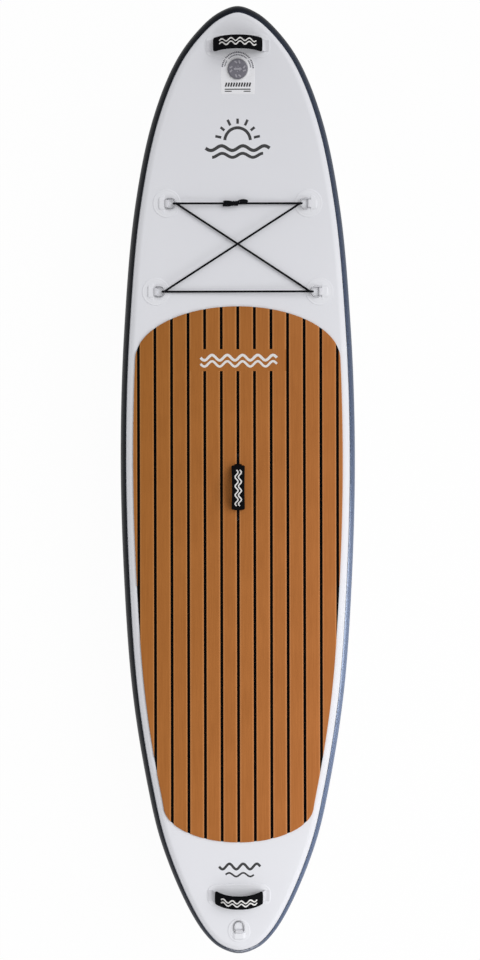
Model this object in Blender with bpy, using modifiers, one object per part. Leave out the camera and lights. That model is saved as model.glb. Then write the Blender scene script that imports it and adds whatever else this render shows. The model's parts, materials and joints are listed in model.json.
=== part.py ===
"""An inflatable stand-up paddle board, with its deck pad, luggage net, handles, valve and fins.

Metres, with +X to starboard, +Y to the nose and +Z up. The origin is the middle of the hull's flat bottom.
"""

from math import asin, cos, degrees, pi, radians, sin, sqrt

import bmesh
import bpy
import numpy as np
from mathutils import Matrix, Vector

# Hull
BOARD_LENGTH = 3.200
BOARD_WIDTH = 0.812
BOARD_THICKNESS = 0.150
RAIL_BULGE = 0.047
NOSE_ROCKER = 0.170
NOSE_ROCKER_LENGTH = 1.100
TAIL_ROCKER = 0.045
TAIL_ROCKER_LENGTH = 0.700
SKIN_WALL = 0.0012
RAIL_BAND_WALL = 0.0012
SIDE_WALL = 0.0010
GAP = 0.0003
STATIONS = 32
END_CROWDING = 0.75
THREAD_SHEET_WALL = 0.0010
CORE_EDGE_ROOM = 0.0080
CORE_LEAST_HALF = 0.0500
THREAD_RADIUS = 0.0015
THREAD_ROWS = 4

# The outline from nose to tail: the share of the length, and of the half width there
OUTLINE = [
    (0.0, 0.0),
    (0.0062, 0.156),
    (0.0205, 0.305),
    (0.0518, 0.506),
    (0.1119, 0.712),
    (0.2053, 0.873),
    (0.3339, 0.968),
    (0.4637, 1.0),
    (0.5935, 0.976),
    (0.7234, 0.904),
    (0.8206, 0.784),
    (0.8845, 0.664),
    (0.9473, 0.458),
    (0.9791, 0.300),
    (0.9935, 0.172),
    (1.0, 0.0),
]

# How far up and down the rail the band reaches, in degrees from the middle of the side, and how much further it
# is wrapped at the nose and the tail. The skins run on under it.
BAND_EDGE_ANGLE = 59.0
NOSE_BAND_RISE = 16.0
TAIL_BAND_RISE = 7.0
SKIN_LAP_ANGLE = 21.0
LAP_GAP = 0.0005

# Deck pad
PAD_FROM_NOSE = 0.991
PAD_FROM_TAIL = 0.3855
PAD_MARGIN = 0.049
PAD_NOSE_ARC = 0.180
PAD_TAIL_ARC = 0.122
PAD_BASE_WALL = 0.0025
PLANK_WALL = 0.0030
GROOVE_WIDTH = 0.0098
GROOVES_A_SIDE = 6
BRIDGED_GROOVE_COUNT = 2
EDGE_STRIP = 0.0180
GROOVE_PITCH = (BOARD_WIDTH / 2 - PAD_MARGIN - EDGE_STRIP) / GROOVES_A_SIDE
BRIDGE_FROM_PAD_NOSE = 0.146
BRIDGE_LENGTH = 0.0745

# D-rings: where the bar lies from the nose or the tail and from the centre line, and which way the bow points
RING_WIRE = 0.0045
RING_HALF_SPAN = 0.0165
RING_REACH = 0.0310
RING_CORNER = 0.0040
RING_TILT = 14.0
TAB_WIDTH = 0.0250
TAB_LENGTH = 0.0290
TAB_WALL = 0.0015
RING_CLEARANCE = 0.0005
PATCH_WALL = 0.0009
RING_PATCH_RADIUS = 0.0470
TAIL_PATCH_RADIUS = 0.0380
BOW_RING_FROM_NOSE = 0.644
BOW_RING_OUT = BOARD_WIDTH / 2 - 0.1660
MID_RING_FROM_NOSE = 0.941
MID_RING_OUT = BOARD_WIDTH / 2 - 0.1270
TAIL_RING_FROM_TAIL = 0.0945

# Luggage net
CORD_DIAMETER = 0.0055
CORD_CLEARANCE = 0.0010
KNOT_LEFT_OF_CENTRE = 0.0085
KNOT_LENGTH = 0.0200
KNOT_WIDTH = 0.0150

# Handles
GRIP_LENGTH = 0.158
GRIP_WIDTH = 0.0460
GRIP_THICKNESS = 0.0104
GRIP_WALL = 0.0040
GRIP_END_HEIGHT = 0.0130
GRIP_TOP_HEIGHT = 0.0500
ARCH_POWER = 2.4
CENTRE_GRIP_LENGTH = 0.147
STRAP_WIDTH = 0.0360
STRAP_WALL = 0.0012
STRAP_FOOT_START = 0.0940
STRAP_FOOT_END = 0.1040
HANDLE_PATCH_LENGTH = 0.2160
HANDLE_PATCH_WIDTH = 0.0720
HANDLE_PATCH_CORNER = 0.0300
CENTRE_PATCH_LENGTH = 0.2280
CENTRE_PATCH_WIDTH = 0.0500
CENTRE_PATCH_CORNER = 0.0100
BOW_HANDLE_FROM_NOSE = 0.138
TAIL_HANDLE_FROM_TAIL = 0.209
CENTRE_HANDLE_AFT = 0.007
BOW_HANDLE_LEAN = 17.0
TAIL_HANDLE_LEAN = -11.5
CENTRE_FOOT_START = CENTRE_GRIP_LENGTH / 2 + 0.0080
STRAP_SLOT_START = CENTRE_FOOT_START - 0.0050
STRAP_SLOT_END = CENTRE_FOOT_START + 0.0008
STRAP_SLOT_WIDEN = 0.0030

# Valve
VALVE_FROM_NOSE = 0.209
VALVE_FLANGE_RADIUS = 0.0310
VALVE_FLANGE_WALL = 0.0030
VALVE_BARREL_RADIUS = 0.0200
VALVE_HOLE_DEPTH = 0.0400
VALVE_BORE_RADIUS = 0.0160
VALVE_DEPTH = 0.0220
SEAT_RADIUS = 0.0115
SEAT_WALL = 0.0030
SPIDER_DEPTH = 0.0100
SPIDER_WALL = 0.0030
SPIDER_HUB_RADIUS = 0.0060
NUT_RADIUS = 0.0270
NUT_WALL = 0.0060
STEM_RADIUS = 0.0030
BUTTON_RADIUS = 0.0070
BUTTON_WALL = 0.0030
BUTTON_DEPTH = 0.0010
SEAL_RADIUS = 0.0145
SEAL_WALL = 0.0020
SPRING_WIRE = 0.0008
SPRING_RADIUS = 0.0048
SPRING_TURNS = 3.5
CAP_RADIUS = 0.0328
CAP_SKIRT_WALL = 0.0014
CAP_HEIGHT = 0.0100
CAP_TOP_WALL = 0.0035
CAP_PLUG_WALL = 0.0024
CAP_EDGE = 0.0020
GASKET_INNER_RADIUS = 0.0170
GASKET_OUTER_RADIUS = 0.0290
VALVE_SIDES = 24

# Fins
FIN_BOX_FROM_TAIL = 0.450
FIN_BOX_LENGTH = 0.280
FIN_BOX_WIDTH = 0.030
FIN_BOX_HEIGHT = 0.0235
FIN_FLANGE_LENGTH = 0.320
FIN_FLANGE_WIDTH = 0.085
FIN_FLANGE_WALL = 0.0030
FIN_FLANGE_SINK = 0.0023
FIN_SLOT_LENGTH = 0.240
FIN_SLOT_WIDTH = 0.0098
FIN_SLOT_DEPTH = 0.0200
FIN_GROOVE_WIDTH = 0.0158
FIN_GROOVE_HEIGHT = 0.0045
FIN_GROOVE_DEPTH = 0.0090
FIN_PATCH_LENGTH = 0.380
FIN_PATCH_WIDTH = 0.130
FIN_BASE_LENGTH = 0.195
FIN_BASE_CLEARANCE = 0.0003
FIN_BASE_HEIGHT = 0.0185
FIN_BASE_PROUD = 0.0030
FIN_FOOT_LENGTH = 0.0230
FIN_FOOT_HEIGHT = 0.0085
FIN_DEPTH = 0.200
FIN_CHORD = 0.160
FIN_WALL = 0.0084
FIN_PIN_DIAMETER = 0.0039
FIN_PIN_FROM_END = 0.0180
FIN_SCREW_DIAMETER = 0.0040
FIN_SCREW_HEAD_RADIUS = 0.0090
FIN_SCREW_HEAD_WALL = 0.0042
FIN_NUT_SIDE = 0.0140
FIN_NUT_WALL = 0.0036
SIDE_FIN_OUT = 0.170
SIDE_FIN_DEPTH = 0.110
SIDE_FIN_CHORD = 0.120
SIDE_FIN_WALL = 0.0060
SIDE_FIN_CANT = 6.0
SIDE_PATCH_LENGTH = 0.165
SIDE_PATCH_WIDTH = 0.045

# Collections, one for the board and one for what cuts it
for old in list(bpy.data.objects):
    bpy.data.objects.remove(old)
BOARD = bpy.data.collections.new("paddle_board")
CUTTERS = bpy.data.collections.new("cutters")
CUTTERS.hide_render = True
bpy.context.scene.collection.children.link(BOARD)
bpy.context.scene.collection.children.link(CUTTERS)


def principled(name, colour, roughness, metallic=0.0):
    """A material of one colour."""
    material = bpy.data.materials.new(name)
    material.use_nodes = True
    shader = material.node_tree.nodes["Principled BSDF"]
    shader.inputs["Base Color"].default_value = (*colour, 1.0)
    shader.inputs["Roughness"].default_value = roughness
    shader.inputs["Metallic"].default_value = metallic
    return material


WHITE_PVC = principled("white_pvc", (0.72, 0.72, 0.78), 0.45)
DARK_PVC = principled("dark_pvc", (0.022, 0.026, 0.032), 0.40)
THREAD = principled("thread", (0.80, 0.79, 0.76), 0.80)
BLACK_FOAM = principled("black_foam", (0.010, 0.009, 0.009), 0.85)
BROWN_FOAM = principled("brown_foam", (0.36, 0.135, 0.035), 0.80)
BLACK_FABRIC = principled("black_fabric", (0.006, 0.007, 0.010), 0.85)
WHITE_WEBBING = principled("white_webbing", (0.66, 0.66, 0.70), 0.80)
STEEL = principled("steel", (0.55, 0.56, 0.58), 0.30, 1.0)
BRASS = principled("brass", (0.62, 0.43, 0.16), 0.35, 1.0)
GREY_PLASTIC = principled("grey_plastic", (0.15, 0.15, 0.18), 0.45)
BLACK_PLASTIC = principled("black_plastic", (0.015, 0.015, 0.017), 0.45)
RUBBER = principled("rubber", (0.020, 0.020, 0.020), 0.70)


def add(name, mesh, material, matrix=None, smooth=True):
    """Puts a mesh into the board as a named piece."""
    piece = bpy.data.objects.new(name, mesh)
    BOARD.objects.link(piece)
    mesh.materials.append(material)
    if smooth and hasattr(mesh, "set_sharp_from_angle"):
        mesh.shade_smooth()
        mesh.set_sharp_from_angle(angle=radians(35))
    if matrix is not None:
        piece.matrix_world = matrix
    return piece


def as_cutter(piece):
    """Moves a piece among the cutters, which aren't part of the board."""
    BOARD.objects.unlink(piece)
    CUTTERS.objects.link(piece)
    piece.hide_render = True
    piece.display_type = "WIRE"
    return piece


def grid_mesh(name, rows, keep=None):
    """A mesh through rows of points, each as long as the next. Points that fall together are merged.

    keep, if given, is asked with the middle of each face, and a face that it turns down is left out.
    """
    mesh = bpy.data.meshes.new(name)
    work = bmesh.new()
    points = [[work.verts.new(p) for p in row] for row in rows]
    for low, high in zip(points, points[1:]):
        for k in range(len(low) - 1):
            corners = (low[k], low[k + 1], high[k + 1], high[k])
            middle = sum((v.co for v in corners), Vector()) / 4
            if keep is None or keep(middle):
                work.faces.new(corners)
    bmesh.ops.remove_doubles(work, verts=work.verts, dist=2e-6)
    bmesh.ops.dissolve_degenerate(work, edges=work.edges, dist=2e-6)
    loose = [v for v in work.verts if not v.link_faces]
    bmesh.ops.delete(work, geom=loose, context="VERTS")
    work.to_mesh(mesh)
    work.free()
    return mesh


def thicken(piece, wall, side=-1.0):
    """Gives a surface its wall, behind it with side -1, in front of it with 1 or half each way with 0."""
    solid = piece.modifiers.new("wall", "SOLIDIFY")
    solid.thickness = wall
    solid.offset = side
    solid.use_even_offset = True
    return piece


def mirror_half(piece):
    """Mirrors a starboard half that is open at the centre plane."""
    mirror = piece.modifiers.new("port_half", "MIRROR")
    mirror.merge_threshold = 1e-5
    return piece


def join(piece, other, operation="UNION"):
    """Adds another piece to this one, or cuts it away, and keeps the other as a guide."""
    boolean = piece.modifiers.new(operation.lower(), "BOOLEAN")
    boolean.operation = operation
    boolean.object = as_cutter(other)
    boolean.solver = "EXACT"
    return piece


def turned(name, profile, material, matrix, closed=True, sides=VALVE_SIDES):
    """A turned shape: the profile's (radius, height) points run out along the top and down the outer side."""
    mesh = bpy.data.meshes.new(name)
    work = bmesh.new()
    points = [work.verts.new((r, 0.0, z)) for r, z in profile]
    for a, b in zip(points, points[1:]):
        work.edges.new((a, b))
    if closed:
        work.edges.new((points[-1], points[0]))
    work.to_mesh(mesh)
    work.free()
    piece = add(name, mesh, material, matrix)
    screw = piece.modifiers.new("turn", "SCREW")
    screw.axis = "Z"
    screw.steps = sides
    screw.render_steps = sides
    screw.use_merge_vertices = True
    screw.merge_threshold = 1e-5
    return piece


def box(name, size, material, matrix, centre=(0.0, 0.0, 0.0)):
    """A box of a given size about a point of its frame."""
    mesh = bpy.data.meshes.new(name)
    work = bmesh.new()
    bmesh.ops.create_cube(work, size=1.0, matrix=Matrix.Translation(centre) @ Matrix.Diagonal((*size, 1.0)))
    work.to_mesh(mesh)
    work.free()
    return add(name, mesh, material, matrix, smooth=False)


def rod(name, radius, length, material, matrix, sides=12):
    """A plain round bar along its frame's Z, about its middle."""
    mesh = bpy.data.meshes.new(name)
    work = bmesh.new()
    bmesh.ops.create_cone(
        work, cap_ends=True, segments=sides, radius1=radius, radius2=radius, depth=length
    )
    work.to_mesh(mesh)
    work.free()
    return add(name, mesh, material, matrix)


def tube(name, points, diameter, material, closed=False, sides_level=2, matrix=None):
    """A wire or cord through its points."""
    curve = bpy.data.curves.new(name, "CURVE")
    curve.dimensions = "3D"
    curve.bevel_depth = diameter / 2
    curve.bevel_resolution = sides_level
    curve.use_fill_caps = True
    spline = curve.splines.new("POLY")
    spline.points.add(len(points) - 1)
    spline.points.foreach_set("co", [c for p in points for c in (*p, 1.0)])
    spline.use_cyclic_u = closed
    piece = bpy.data.objects.new(name, curve)
    curve.materials.append(material)
    BOARD.objects.link(piece)
    if matrix is not None:
        piece.matrix_world = matrix
    return piece


def as_mesh(piece):
    """Turns a curve piece into a mesh piece, with its caps welded on."""
    graph = bpy.context.evaluated_depsgraph_get()
    mesh = bpy.data.meshes.new_from_object(piece.evaluated_get(graph))
    work = bmesh.new()
    work.from_mesh(mesh)
    bmesh.ops.remove_doubles(work, verts=work.verts, dist=1e-6)
    work.to_mesh(mesh)
    work.free()
    name = piece.name
    matrix = piece.matrix_world.copy()
    bpy.data.objects.remove(piece)
    made = bpy.data.objects.new(name, mesh)
    made.matrix_world = matrix
    BOARD.objects.link(made)
    return made


def flat_shape(name, outlines, width, material, matrix):
    """A flat outline, with any holes, given a width along its frame's Z, half each way."""
    curve = bpy.data.curves.new(name, "CURVE")
    curve.dimensions = "2D"
    curve.fill_mode = "BOTH"
    curve.extrude = width / 2
    for outline in outlines:
        spline = curve.splines.new("POLY")
        spline.points.add(len(outline) - 1)
        spline.points.foreach_set("co", [c for p in outline for c in (*p, 0.0, 1.0)])
        spline.use_cyclic_u = True
    piece = bpy.data.objects.new(name, curve)
    curve.materials.append(material)
    BOARD.objects.link(piece)
    piece.matrix_world = matrix
    return piece


def smooth_curve(points, per_span):
    """A centripetal Catmull-Rom curve through the points, from the second to the last but one."""
    points = [np.array(p, float) for p in points]
    found = []
    for p0, p1, p2, p3 in zip(points, points[1:], points[2:], points[3:]):
        t0 = 0.0
        t1 = t0 + sqrt(np.linalg.norm(p1 - p0))
        t2 = t1 + sqrt(np.linalg.norm(p2 - p1))
        t3 = t2 + sqrt(np.linalg.norm(p3 - p2))
        for t in np.linspace(t1, t2, per_span, endpoint=False):
            a1 = ((t1 - t) * p0 + (t - t0) * p1) / (t1 - t0)
            a2 = ((t2 - t) * p1 + (t - t1) * p2) / (t2 - t1)
            a3 = ((t3 - t) * p2 + (t - t2) * p3) / (t3 - t2)
            b1 = ((t2 - t) * a1 + (t - t0) * a2) / (t2 - t0)
            b2 = ((t3 - t) * a2 + (t - t1) * a3) / (t3 - t1)
            found.append(((t2 - t) * b1 + (t - t1) * b2) / (t2 - t1))
    found.append(points[-2])
    return np.array(found)


# The board's outline, its rail line and its rocker
NOSE = BOARD_LENGTH / 2
TAIL = -BOARD_LENGTH / 2


def outline_points():
    """The starboard outline, from nose to tail."""
    half = [(f * BOARD_WIDTH / 2, NOSE - t * BOARD_LENGTH) for t, f in OUTLINE]
    before = (-half[1][0], half[1][1])
    after = (-half[-2][0], half[-2][1])
    return smooth_curve([before, *half, after], 24)


OUTLINE_CURVE = outline_points()


def rocker(y):
    """How far the hull is lifted there: parabolas towards the nose and the tail, flat between them."""
    ahead = max(0.0, y - (NOSE - NOSE_ROCKER_LENGTH)) / NOSE_ROCKER_LENGTH
    behind = max(0.0, TAIL + TAIL_ROCKER_LENGTH - y) / TAIL_ROCKER_LENGTH
    return NOSE_ROCKER * ahead**2 + TAIL_ROCKER * behind**2


def rail_line():
    """Stations along the starboard side: the middle of the rail's ellipse, and the outward direction."""
    steps = np.diff(OUTLINE_CURVE, axis=0)
    along = np.concatenate([[0.0], np.cumsum(np.hypot(*steps.T))])
    slope = np.gradient(OUTLINE_CURVE, along, axis=0)
    u = np.linspace(0.0, 1.0, STATIONS + 1)
    wanted = along[-1] * ((1 - END_CROWDING) * u + END_CROWDING * (1 - np.cos(pi * u)) / 2)
    x, y = (np.interp(wanted, along, OUTLINE_CURVE[:, k]) for k in (0, 1))
    tx, ty = (np.interp(wanted, along, slope[:, k]) for k in (0, 1))
    size = np.hypot(tx, ty)
    nx, ny = -ty / size, tx / size
    nx[0], ny[0] = 0.0, 1.0
    nx[-1], ny[-1] = 0.0, -1.0
    middle_x = np.maximum(0.0, x - RAIL_BULGE * nx)
    middle_y = y - RAIL_BULGE * ny
    return list(zip(middle_x, middle_y, nx, ny))


RAIL_LINE = rail_line()
SKIN_BULGE = RAIL_BULGE - RAIL_BAND_WALL - LAP_GAP
HALF_THICK = BOARD_THICKNESS / 2
DECK_Y = np.array([y for _, y, _, _ in RAIL_LINE])[::-1]
DECK_LIFT = np.array([rocker(y) for y in DECK_Y])


def hull_point(station, angle, offset):
    """A point of the rail at a station and angle, offset outwards from the skins' outer face."""
    x, y, nx, ny = RAIL_LINE[station]
    reach = (SKIN_BULGE + offset) * cos(radians(angle)) if abs(angle) < 90 else 0.0
    px, py = x + nx * reach, y + ny * reach
    return (px, py, HALF_THICK + (HALF_THICK + offset) * sin(radians(angle)) + rocker(py))


def deck_z(y):
    """Height of the deck skin's outer face, which runs straight from station to station."""
    return BOARD_THICKNESS + float(np.interp(y, DECK_Y, DECK_LIFT))


def bottom_z(y):
    """Height of the bottom skin's outer face."""
    return float(np.interp(y, DECK_Y, DECK_LIFT))


def deck_frame(x, y, turn=0.0):
    """A frame on the deck: its Z stands square to the deck, and its X is turned from starboard towards the nose."""
    reach = 0.02
    slope = (deck_z(y + reach) - deck_z(y - reach)) / (2 * reach)
    across = Vector((1.0, 0.0, 0.0))
    ahead = Vector((0.0, 1.0, slope)).normalized()
    up = across.cross(ahead)
    frame = Matrix((across, ahead, up)).transposed().to_4x4()
    frame.translation = (x, y, deck_z(y))
    return frame @ Matrix.Rotation(radians(turn), 4, "Z")


# Hull skins, rail band and core
def band_edge(station):
    """The angle up the rail where the band ends at a station."""
    ahead = RAIL_LINE[station][3]
    return BAND_EDGE_ANGLE + NOSE_BAND_RISE * max(0.0, ahead) ** 1.5 + TAIL_BAND_RISE * max(0.0, -ahead) ** 2


def band_rows(edge):
    """The band's angles, from its upper edge to its lower one."""
    lap = edge - SKIN_LAP_ANGLE
    return [edge, lap, lap / 2, 0.0, -lap / 2, -lap, -edge]


def side_rows(edge):
    """The inner side wall's angles, which meet the band's where the skins lie between them."""
    lap = edge - SKIN_LAP_ANGLE
    return [edge, lap, -lap, -edge]


def deck_rows(edge):
    """The deck skin's angles, from the flat deck to its end under the band."""
    return [90.0, (90.0 + edge) / 2, edge, edge - SKIN_LAP_ANGLE]


def bottom_rows(edge):
    """The bottom skin's angles, from its end under the band to the flat bottom."""
    return [-angle for angle in reversed(deck_rows(edge))]


def skin_half(name, rows_at, offset, wall, material, with_middle):
    """A hull layer through the rail angles that rows_at gives, with the flat middle on a skin."""
    rows = []
    for station in reversed(range(STATIONS + 1)):
        angles = rows_at(band_edge(station))
        row = [hull_point(station, angle, offset) for angle in angles]
        if with_middle:
            edge = row[0] if angles[0] > 0 else row[-1]
            middle = (0.0, edge[1], edge[2])
            row = [middle, *row] if angles[0] > 0 else [*row, middle]
        rows.append(row)
    return thicken(mirror_half(add(name, grid_mesh(name, rows), material)), wall)


VALVE_Y = NOSE - VALVE_FROM_NOSE
VALVE_FRAME = deck_frame(0.0, VALVE_Y)


def at_height(frame, height):
    """The same frame, moved along its own Z."""
    return frame @ Matrix.Translation((0.0, 0.0, height))


def build_hull():
    """Deck, bottom, side wall, rail band and the threads between deck and bottom."""
    deck = skin_half("deck_skin", deck_rows, 0.0, SKIN_WALL, WHITE_PVC, True)
    hole = rod("valve_hole", VALVE_BARREL_RADIUS + GAP, VALVE_HOLE_DEPTH, WHITE_PVC, VALVE_FRAME, VALVE_SIDES)
    join(deck, hole, "DIFFERENCE")
    skin_half("bottom_skin", bottom_rows, 0.0, SKIN_WALL, WHITE_PVC, True)
    skin_half("rail_band", band_rows, LAP_GAP + RAIL_BAND_WALL, RAIL_BAND_WALL, DARK_PVC, False)
    inside = -(SKIN_WALL + LAP_GAP)
    skin_half("side_wall_strip", side_rows, inside, SIDE_WALL, WHITE_PVC, False)
    build_core()


def build_core():
    """A sheet under the deck skin with the drop-stitch threads that hold deck and bottom parallel."""
    top = BOARD_THICKNESS - SKIN_WALL - GAP
    rows = []
    middles = []
    for x, y, _, _ in RAIL_LINE:
        half = x - CORE_EDGE_ROOM
        if half < CORE_LEAST_HALF:
            continue
        z = top + rocker(y)
        columns = np.linspace(-half, half, THREAD_ROWS + 1)
        rows.append([(c, y, z) for c in columns])
        middles.append((y, columns))
    rows.reverse()
    core = add("drop_stitch_core", grid_mesh("drop_stitch_core", rows), THREAD, smooth=False)
    thicken(core, THREAD_SHEET_WALL)
    foot = SKIN_WALL + GAP + THREAD_RADIUS / 2
    room = NUT_RADIUS + 0.006
    mesh = bpy.data.meshes.new("threads")
    work = bmesh.new()
    for (y_a, columns_a), (y_b, columns_b) in zip(middles, middles[1:]):
        y = (y_a + y_b) / 2
        lift = bottom_z(y)
        for k in range(THREAD_ROWS):
            x = (columns_a[k] + columns_a[k + 1] + columns_b[k] + columns_b[k + 1]) / 4
            if np.hypot(x, y - VALVE_Y) < room + 2 * THREAD_RADIUS:
                continue
            low, high = lift + foot, lift + top - THREAD_SHEET_WALL / 2
            place = Matrix.Translation((x, y, (low + high) / 2))
            bmesh.ops.create_cone(
                work,
                cap_ends=True,
                segments=3,
                radius1=THREAD_RADIUS,
                radius2=THREAD_RADIUS,
                depth=high - low,
                matrix=place,
            )
    work.to_mesh(mesh)
    work.free()
    join(core, add("threads", mesh, THREAD, smooth=False))
    join(core, rod("nut_room", room, 0.06, THREAD, VALVE_FRAME, VALVE_SIDES), "DIFFERENCE")


# Deck pad
PAD_TOP = NOSE - PAD_FROM_NOSE
PAD_FOOT = TAIL + PAD_FROM_TAIL
HANDLE_Y = -CENTRE_HANDLE_AFT
BENDS = [
    y
    for k, y in enumerate(DECK_Y)
    if max(DECK_LIFT[max(k - 1, 0)], DECK_LIFT[k], DECK_LIFT[min(k + 1, STATIONS)]) > 0
]


def draped(name, outline, height, wall, material, surface=deck_z, between=None, lines=((), ()), keep=None):
    """A thin sheet laid on the deck, or under the bottom, at a height off it.

    The outline runs anticlockwise seen from above. It is trimmed to the x values in between, cut where the hull
    bends and at the x and y values in lines, and the faces that keep turns down are left out.
    """
    mesh = bpy.data.meshes.new(name)
    work = bmesh.new()
    work.faces.new([work.verts.new((x, y, 0.0)) for x, y in outline])
    ys = [y for _, y in outline]
    cuts = [((0, y, 0), (0, 1, 0), False) for y in [*BENDS, *lines[1]] if min(ys) < y < max(ys)]
    cuts += [((x, 0, 0), (1, 0, 0), False) for x in lines[0]]
    if between:
        cuts.append(((between[0], 0, 0), (-1, 0, 0), True))
        cuts.append(((between[1], 0, 0), (1, 0, 0), True))
    for place, across, trim in cuts:
        bmesh.ops.bisect_plane(
            work,
            geom=[*work.verts, *work.edges, *work.faces],
            dist=1e-6,
            plane_co=place,
            plane_no=across,
            clear_outer=trim,
        )
    if keep is not None:
        unwanted = [face for face in work.faces if not keep(face.calc_center_median())]
        bmesh.ops.delete(work, geom=unwanted, context="FACES")
    side = 1.0 if surface is deck_z else -1.0
    for vertex in work.verts:
        vertex.co.z = surface(vertex.co.y) + side * height
    work.to_mesh(mesh)
    work.free()
    return thicken(add(name, mesh, material, smooth=False), wall, side)


def rounded(half_x, half_y, corner, steps, centre):
    """A rectangle's outline with round corners, anticlockwise. It is a disc when all three sizes are equal."""
    points = []
    for k in range(4):
        sign_x, sign_y = ((1, -1), (1, 1), (-1, 1), (-1, -1))[k]
        for a in np.linspace(k - 1, k, steps + 1) * pi / 2:
            x = sign_x * (half_x - corner) + corner * cos(a)
            y = sign_y * (half_y - corner) + corner * sin(a)
            if not points or max(abs(x - points[-1][0]), abs(y - points[-1][1])) > 1e-6:
                points.append((x, y))
    if max(abs(points[0][0] - points[-1][0]), abs(points[0][1] - points[-1][1])) < 1e-6:
        points.pop()
    return [(x + centre[0], y + centre[1]) for x, y in points]


def pad_outline():
    """The pad's outline: half an ellipse at each end, and sides at their margin from the board's outline."""

    def side(y):
        return float(np.interp(-y, -OUTLINE_CURVE[:, 1], OUTLINE_CURVE[:, 0])) - PAD_MARGIN

    nose_start, tail_start = PAD_TOP - PAD_NOSE_ARC, PAD_FOOT + PAD_TAIL_ARC
    arc = np.linspace(0, pi / 2, 13)
    nose = [(side(nose_start) * cos(a), nose_start + PAD_NOSE_ARC * sin(a)) for a in arc]
    tail = [(side(tail_start) * cos(a), tail_start - PAD_TAIL_ARC * sin(a)) for a in arc]
    middle = [(side(y), y) for y in np.linspace(tail_start, nose_start, 16)[1:-1]]
    starboard = [*reversed(tail), *middle, *nose]
    starboard[0], starboard[-1] = (0.0, PAD_FOOT), (0.0, PAD_TOP)
    return [*starboard, *((-x, y) for x, y in reversed(starboard[1:-1]))]


def build_pad():
    """The black base, and on it the brown strips, with the middle ones joined by a bridge."""
    outline = pad_outline()
    hole_x = CENTRE_PATCH_WIDTH / 2 + GAP
    hole_y = (HANDLE_Y - CENTRE_PATCH_LENGTH / 2 - GAP, HANDLE_Y + CENTRE_PATCH_LENGTH / 2 + GAP)

    def outside_patch(middle):
        """Leaves the base open round the centre handle's patch."""
        return abs(middle.x) > hole_x or not hole_y[0] < middle.y < hole_y[1]

    lines = ((-hole_x, hole_x), hole_y)
    draped(
        "deck_pad_base", outline, GAP, PAD_BASE_WALL, BLACK_FOAM, lines=lines, keep=outside_patch
    )
    height = 2 * GAP + PAD_BASE_WALL
    inner = BRIDGED_GROOVE_COUNT + 1
    for side, sign in (("left", -1), ("right", 1)):
        for number, groove in enumerate(range(inner, GROOVES_A_SIDE + 1), 1):
            edges = (
                sign * (groove * GROOVE_PITCH + GROOVE_WIDTH / 2),
                sign * ((groove + 1) * GROOVE_PITCH - GROOVE_WIDTH / 2),
            )
            name = f"deck_plank_{side}_{number}"
            draped(name, outline, height, PLANK_WALL, BROWN_FOAM, between=sorted(edges))
    build_centre_plank(outline, inner, height)


def build_centre_plank(outline, inner, height):
    """The six middle strips, joined across their grooves by the bridge, with two slots for the strap."""
    bridge = (PAD_TOP - BRIDGE_FROM_PAD_NOSE - BRIDGE_LENGTH, PAD_TOP - BRIDGE_FROM_PAD_NOSE)
    slot_x = STRAP_WIDTH / 2 + STRAP_SLOT_WIDEN
    slots = [
        sorted(HANDLE_Y + sign * s for s in (STRAP_SLOT_START, STRAP_SLOT_END))
        for sign in (-1, 1)
    ]
    edge = inner * GROOVE_PITCH - GROOVE_WIDTH / 2
    columns = [-slot_x, slot_x]
    for groove in range(1 - inner, inner):
        columns += [groove * GROOVE_PITCH + side * GROOVE_WIDTH / 2 for side in (-1, 1)]

    def kept(middle):
        """Leaves out the grooves, except across the bridge, and the strap's slots."""
        nearest = round(middle.x / GROOVE_PITCH) * GROOVE_PITCH
        in_groove = abs(middle.x - nearest) < GROOVE_WIDTH / 2
        in_bridge = bridge[0] < middle.y < bridge[1]
        in_slot = abs(middle.x) < slot_x and any(a < middle.y < b for a, b in slots)
        return not in_slot and (in_bridge or not in_groove)

    lines = (columns, [*bridge, *slots[0], *slots[1]])
    draped(
        "deck_plank_centre",
        outline,
        height,
        PLANK_WALL,
        BROWN_FOAM,
        between=(-edge, edge),
        lines=lines,
        keep=kept,
    )


# D-rings
BAR_HEIGHT = GAP + PATCH_WALL + GAP + TAB_WALL + RING_CLEARANCE + RING_WIRE / 2
REST_TILT = -degrees(asin((TAB_WALL + RING_CLEARANCE) / RING_REACH))
RING_PLACES = {
    "bow_left": (-BOW_RING_OUT, NOSE - BOW_RING_FROM_NOSE, 0.0),
    "bow_right": (BOW_RING_OUT, NOSE - BOW_RING_FROM_NOSE, 180.0),
    "mid_left": (-MID_RING_OUT, NOSE - MID_RING_FROM_NOSE, 0.0),
    "mid_right": (MID_RING_OUT, NOSE - MID_RING_FROM_NOSE, 180.0),
    "tail": (0.0, TAIL + TAIL_RING_FROM_TAIL, 90.0),
}


def ring_points():
    """The ring's wire: a straight bar along Y through the frame's origin, and a round bow out along X."""
    bow = RING_REACH - RING_HALF_SPAN
    points = [(0.0, 0.0), (0.0, RING_HALF_SPAN - RING_CORNER)]
    for a in (40.0, 90.0):
        points.append(
            (
                RING_CORNER * (1 - cos(radians(a))),
                RING_HALF_SPAN - RING_CORNER * (1 - sin(radians(a))),
            )
        )
    for a in (90, 66, 42, 20):
        points.append(
            (bow + RING_HALF_SPAN * cos(radians(a)), RING_HALF_SPAN * sin(radians(a)))
        )
    other = [(u, -v) for u, v in reversed(points[1:])]
    return [(u, v, 0.0) for u, v in [*points, (RING_REACH, 0.0), *other]]


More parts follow.
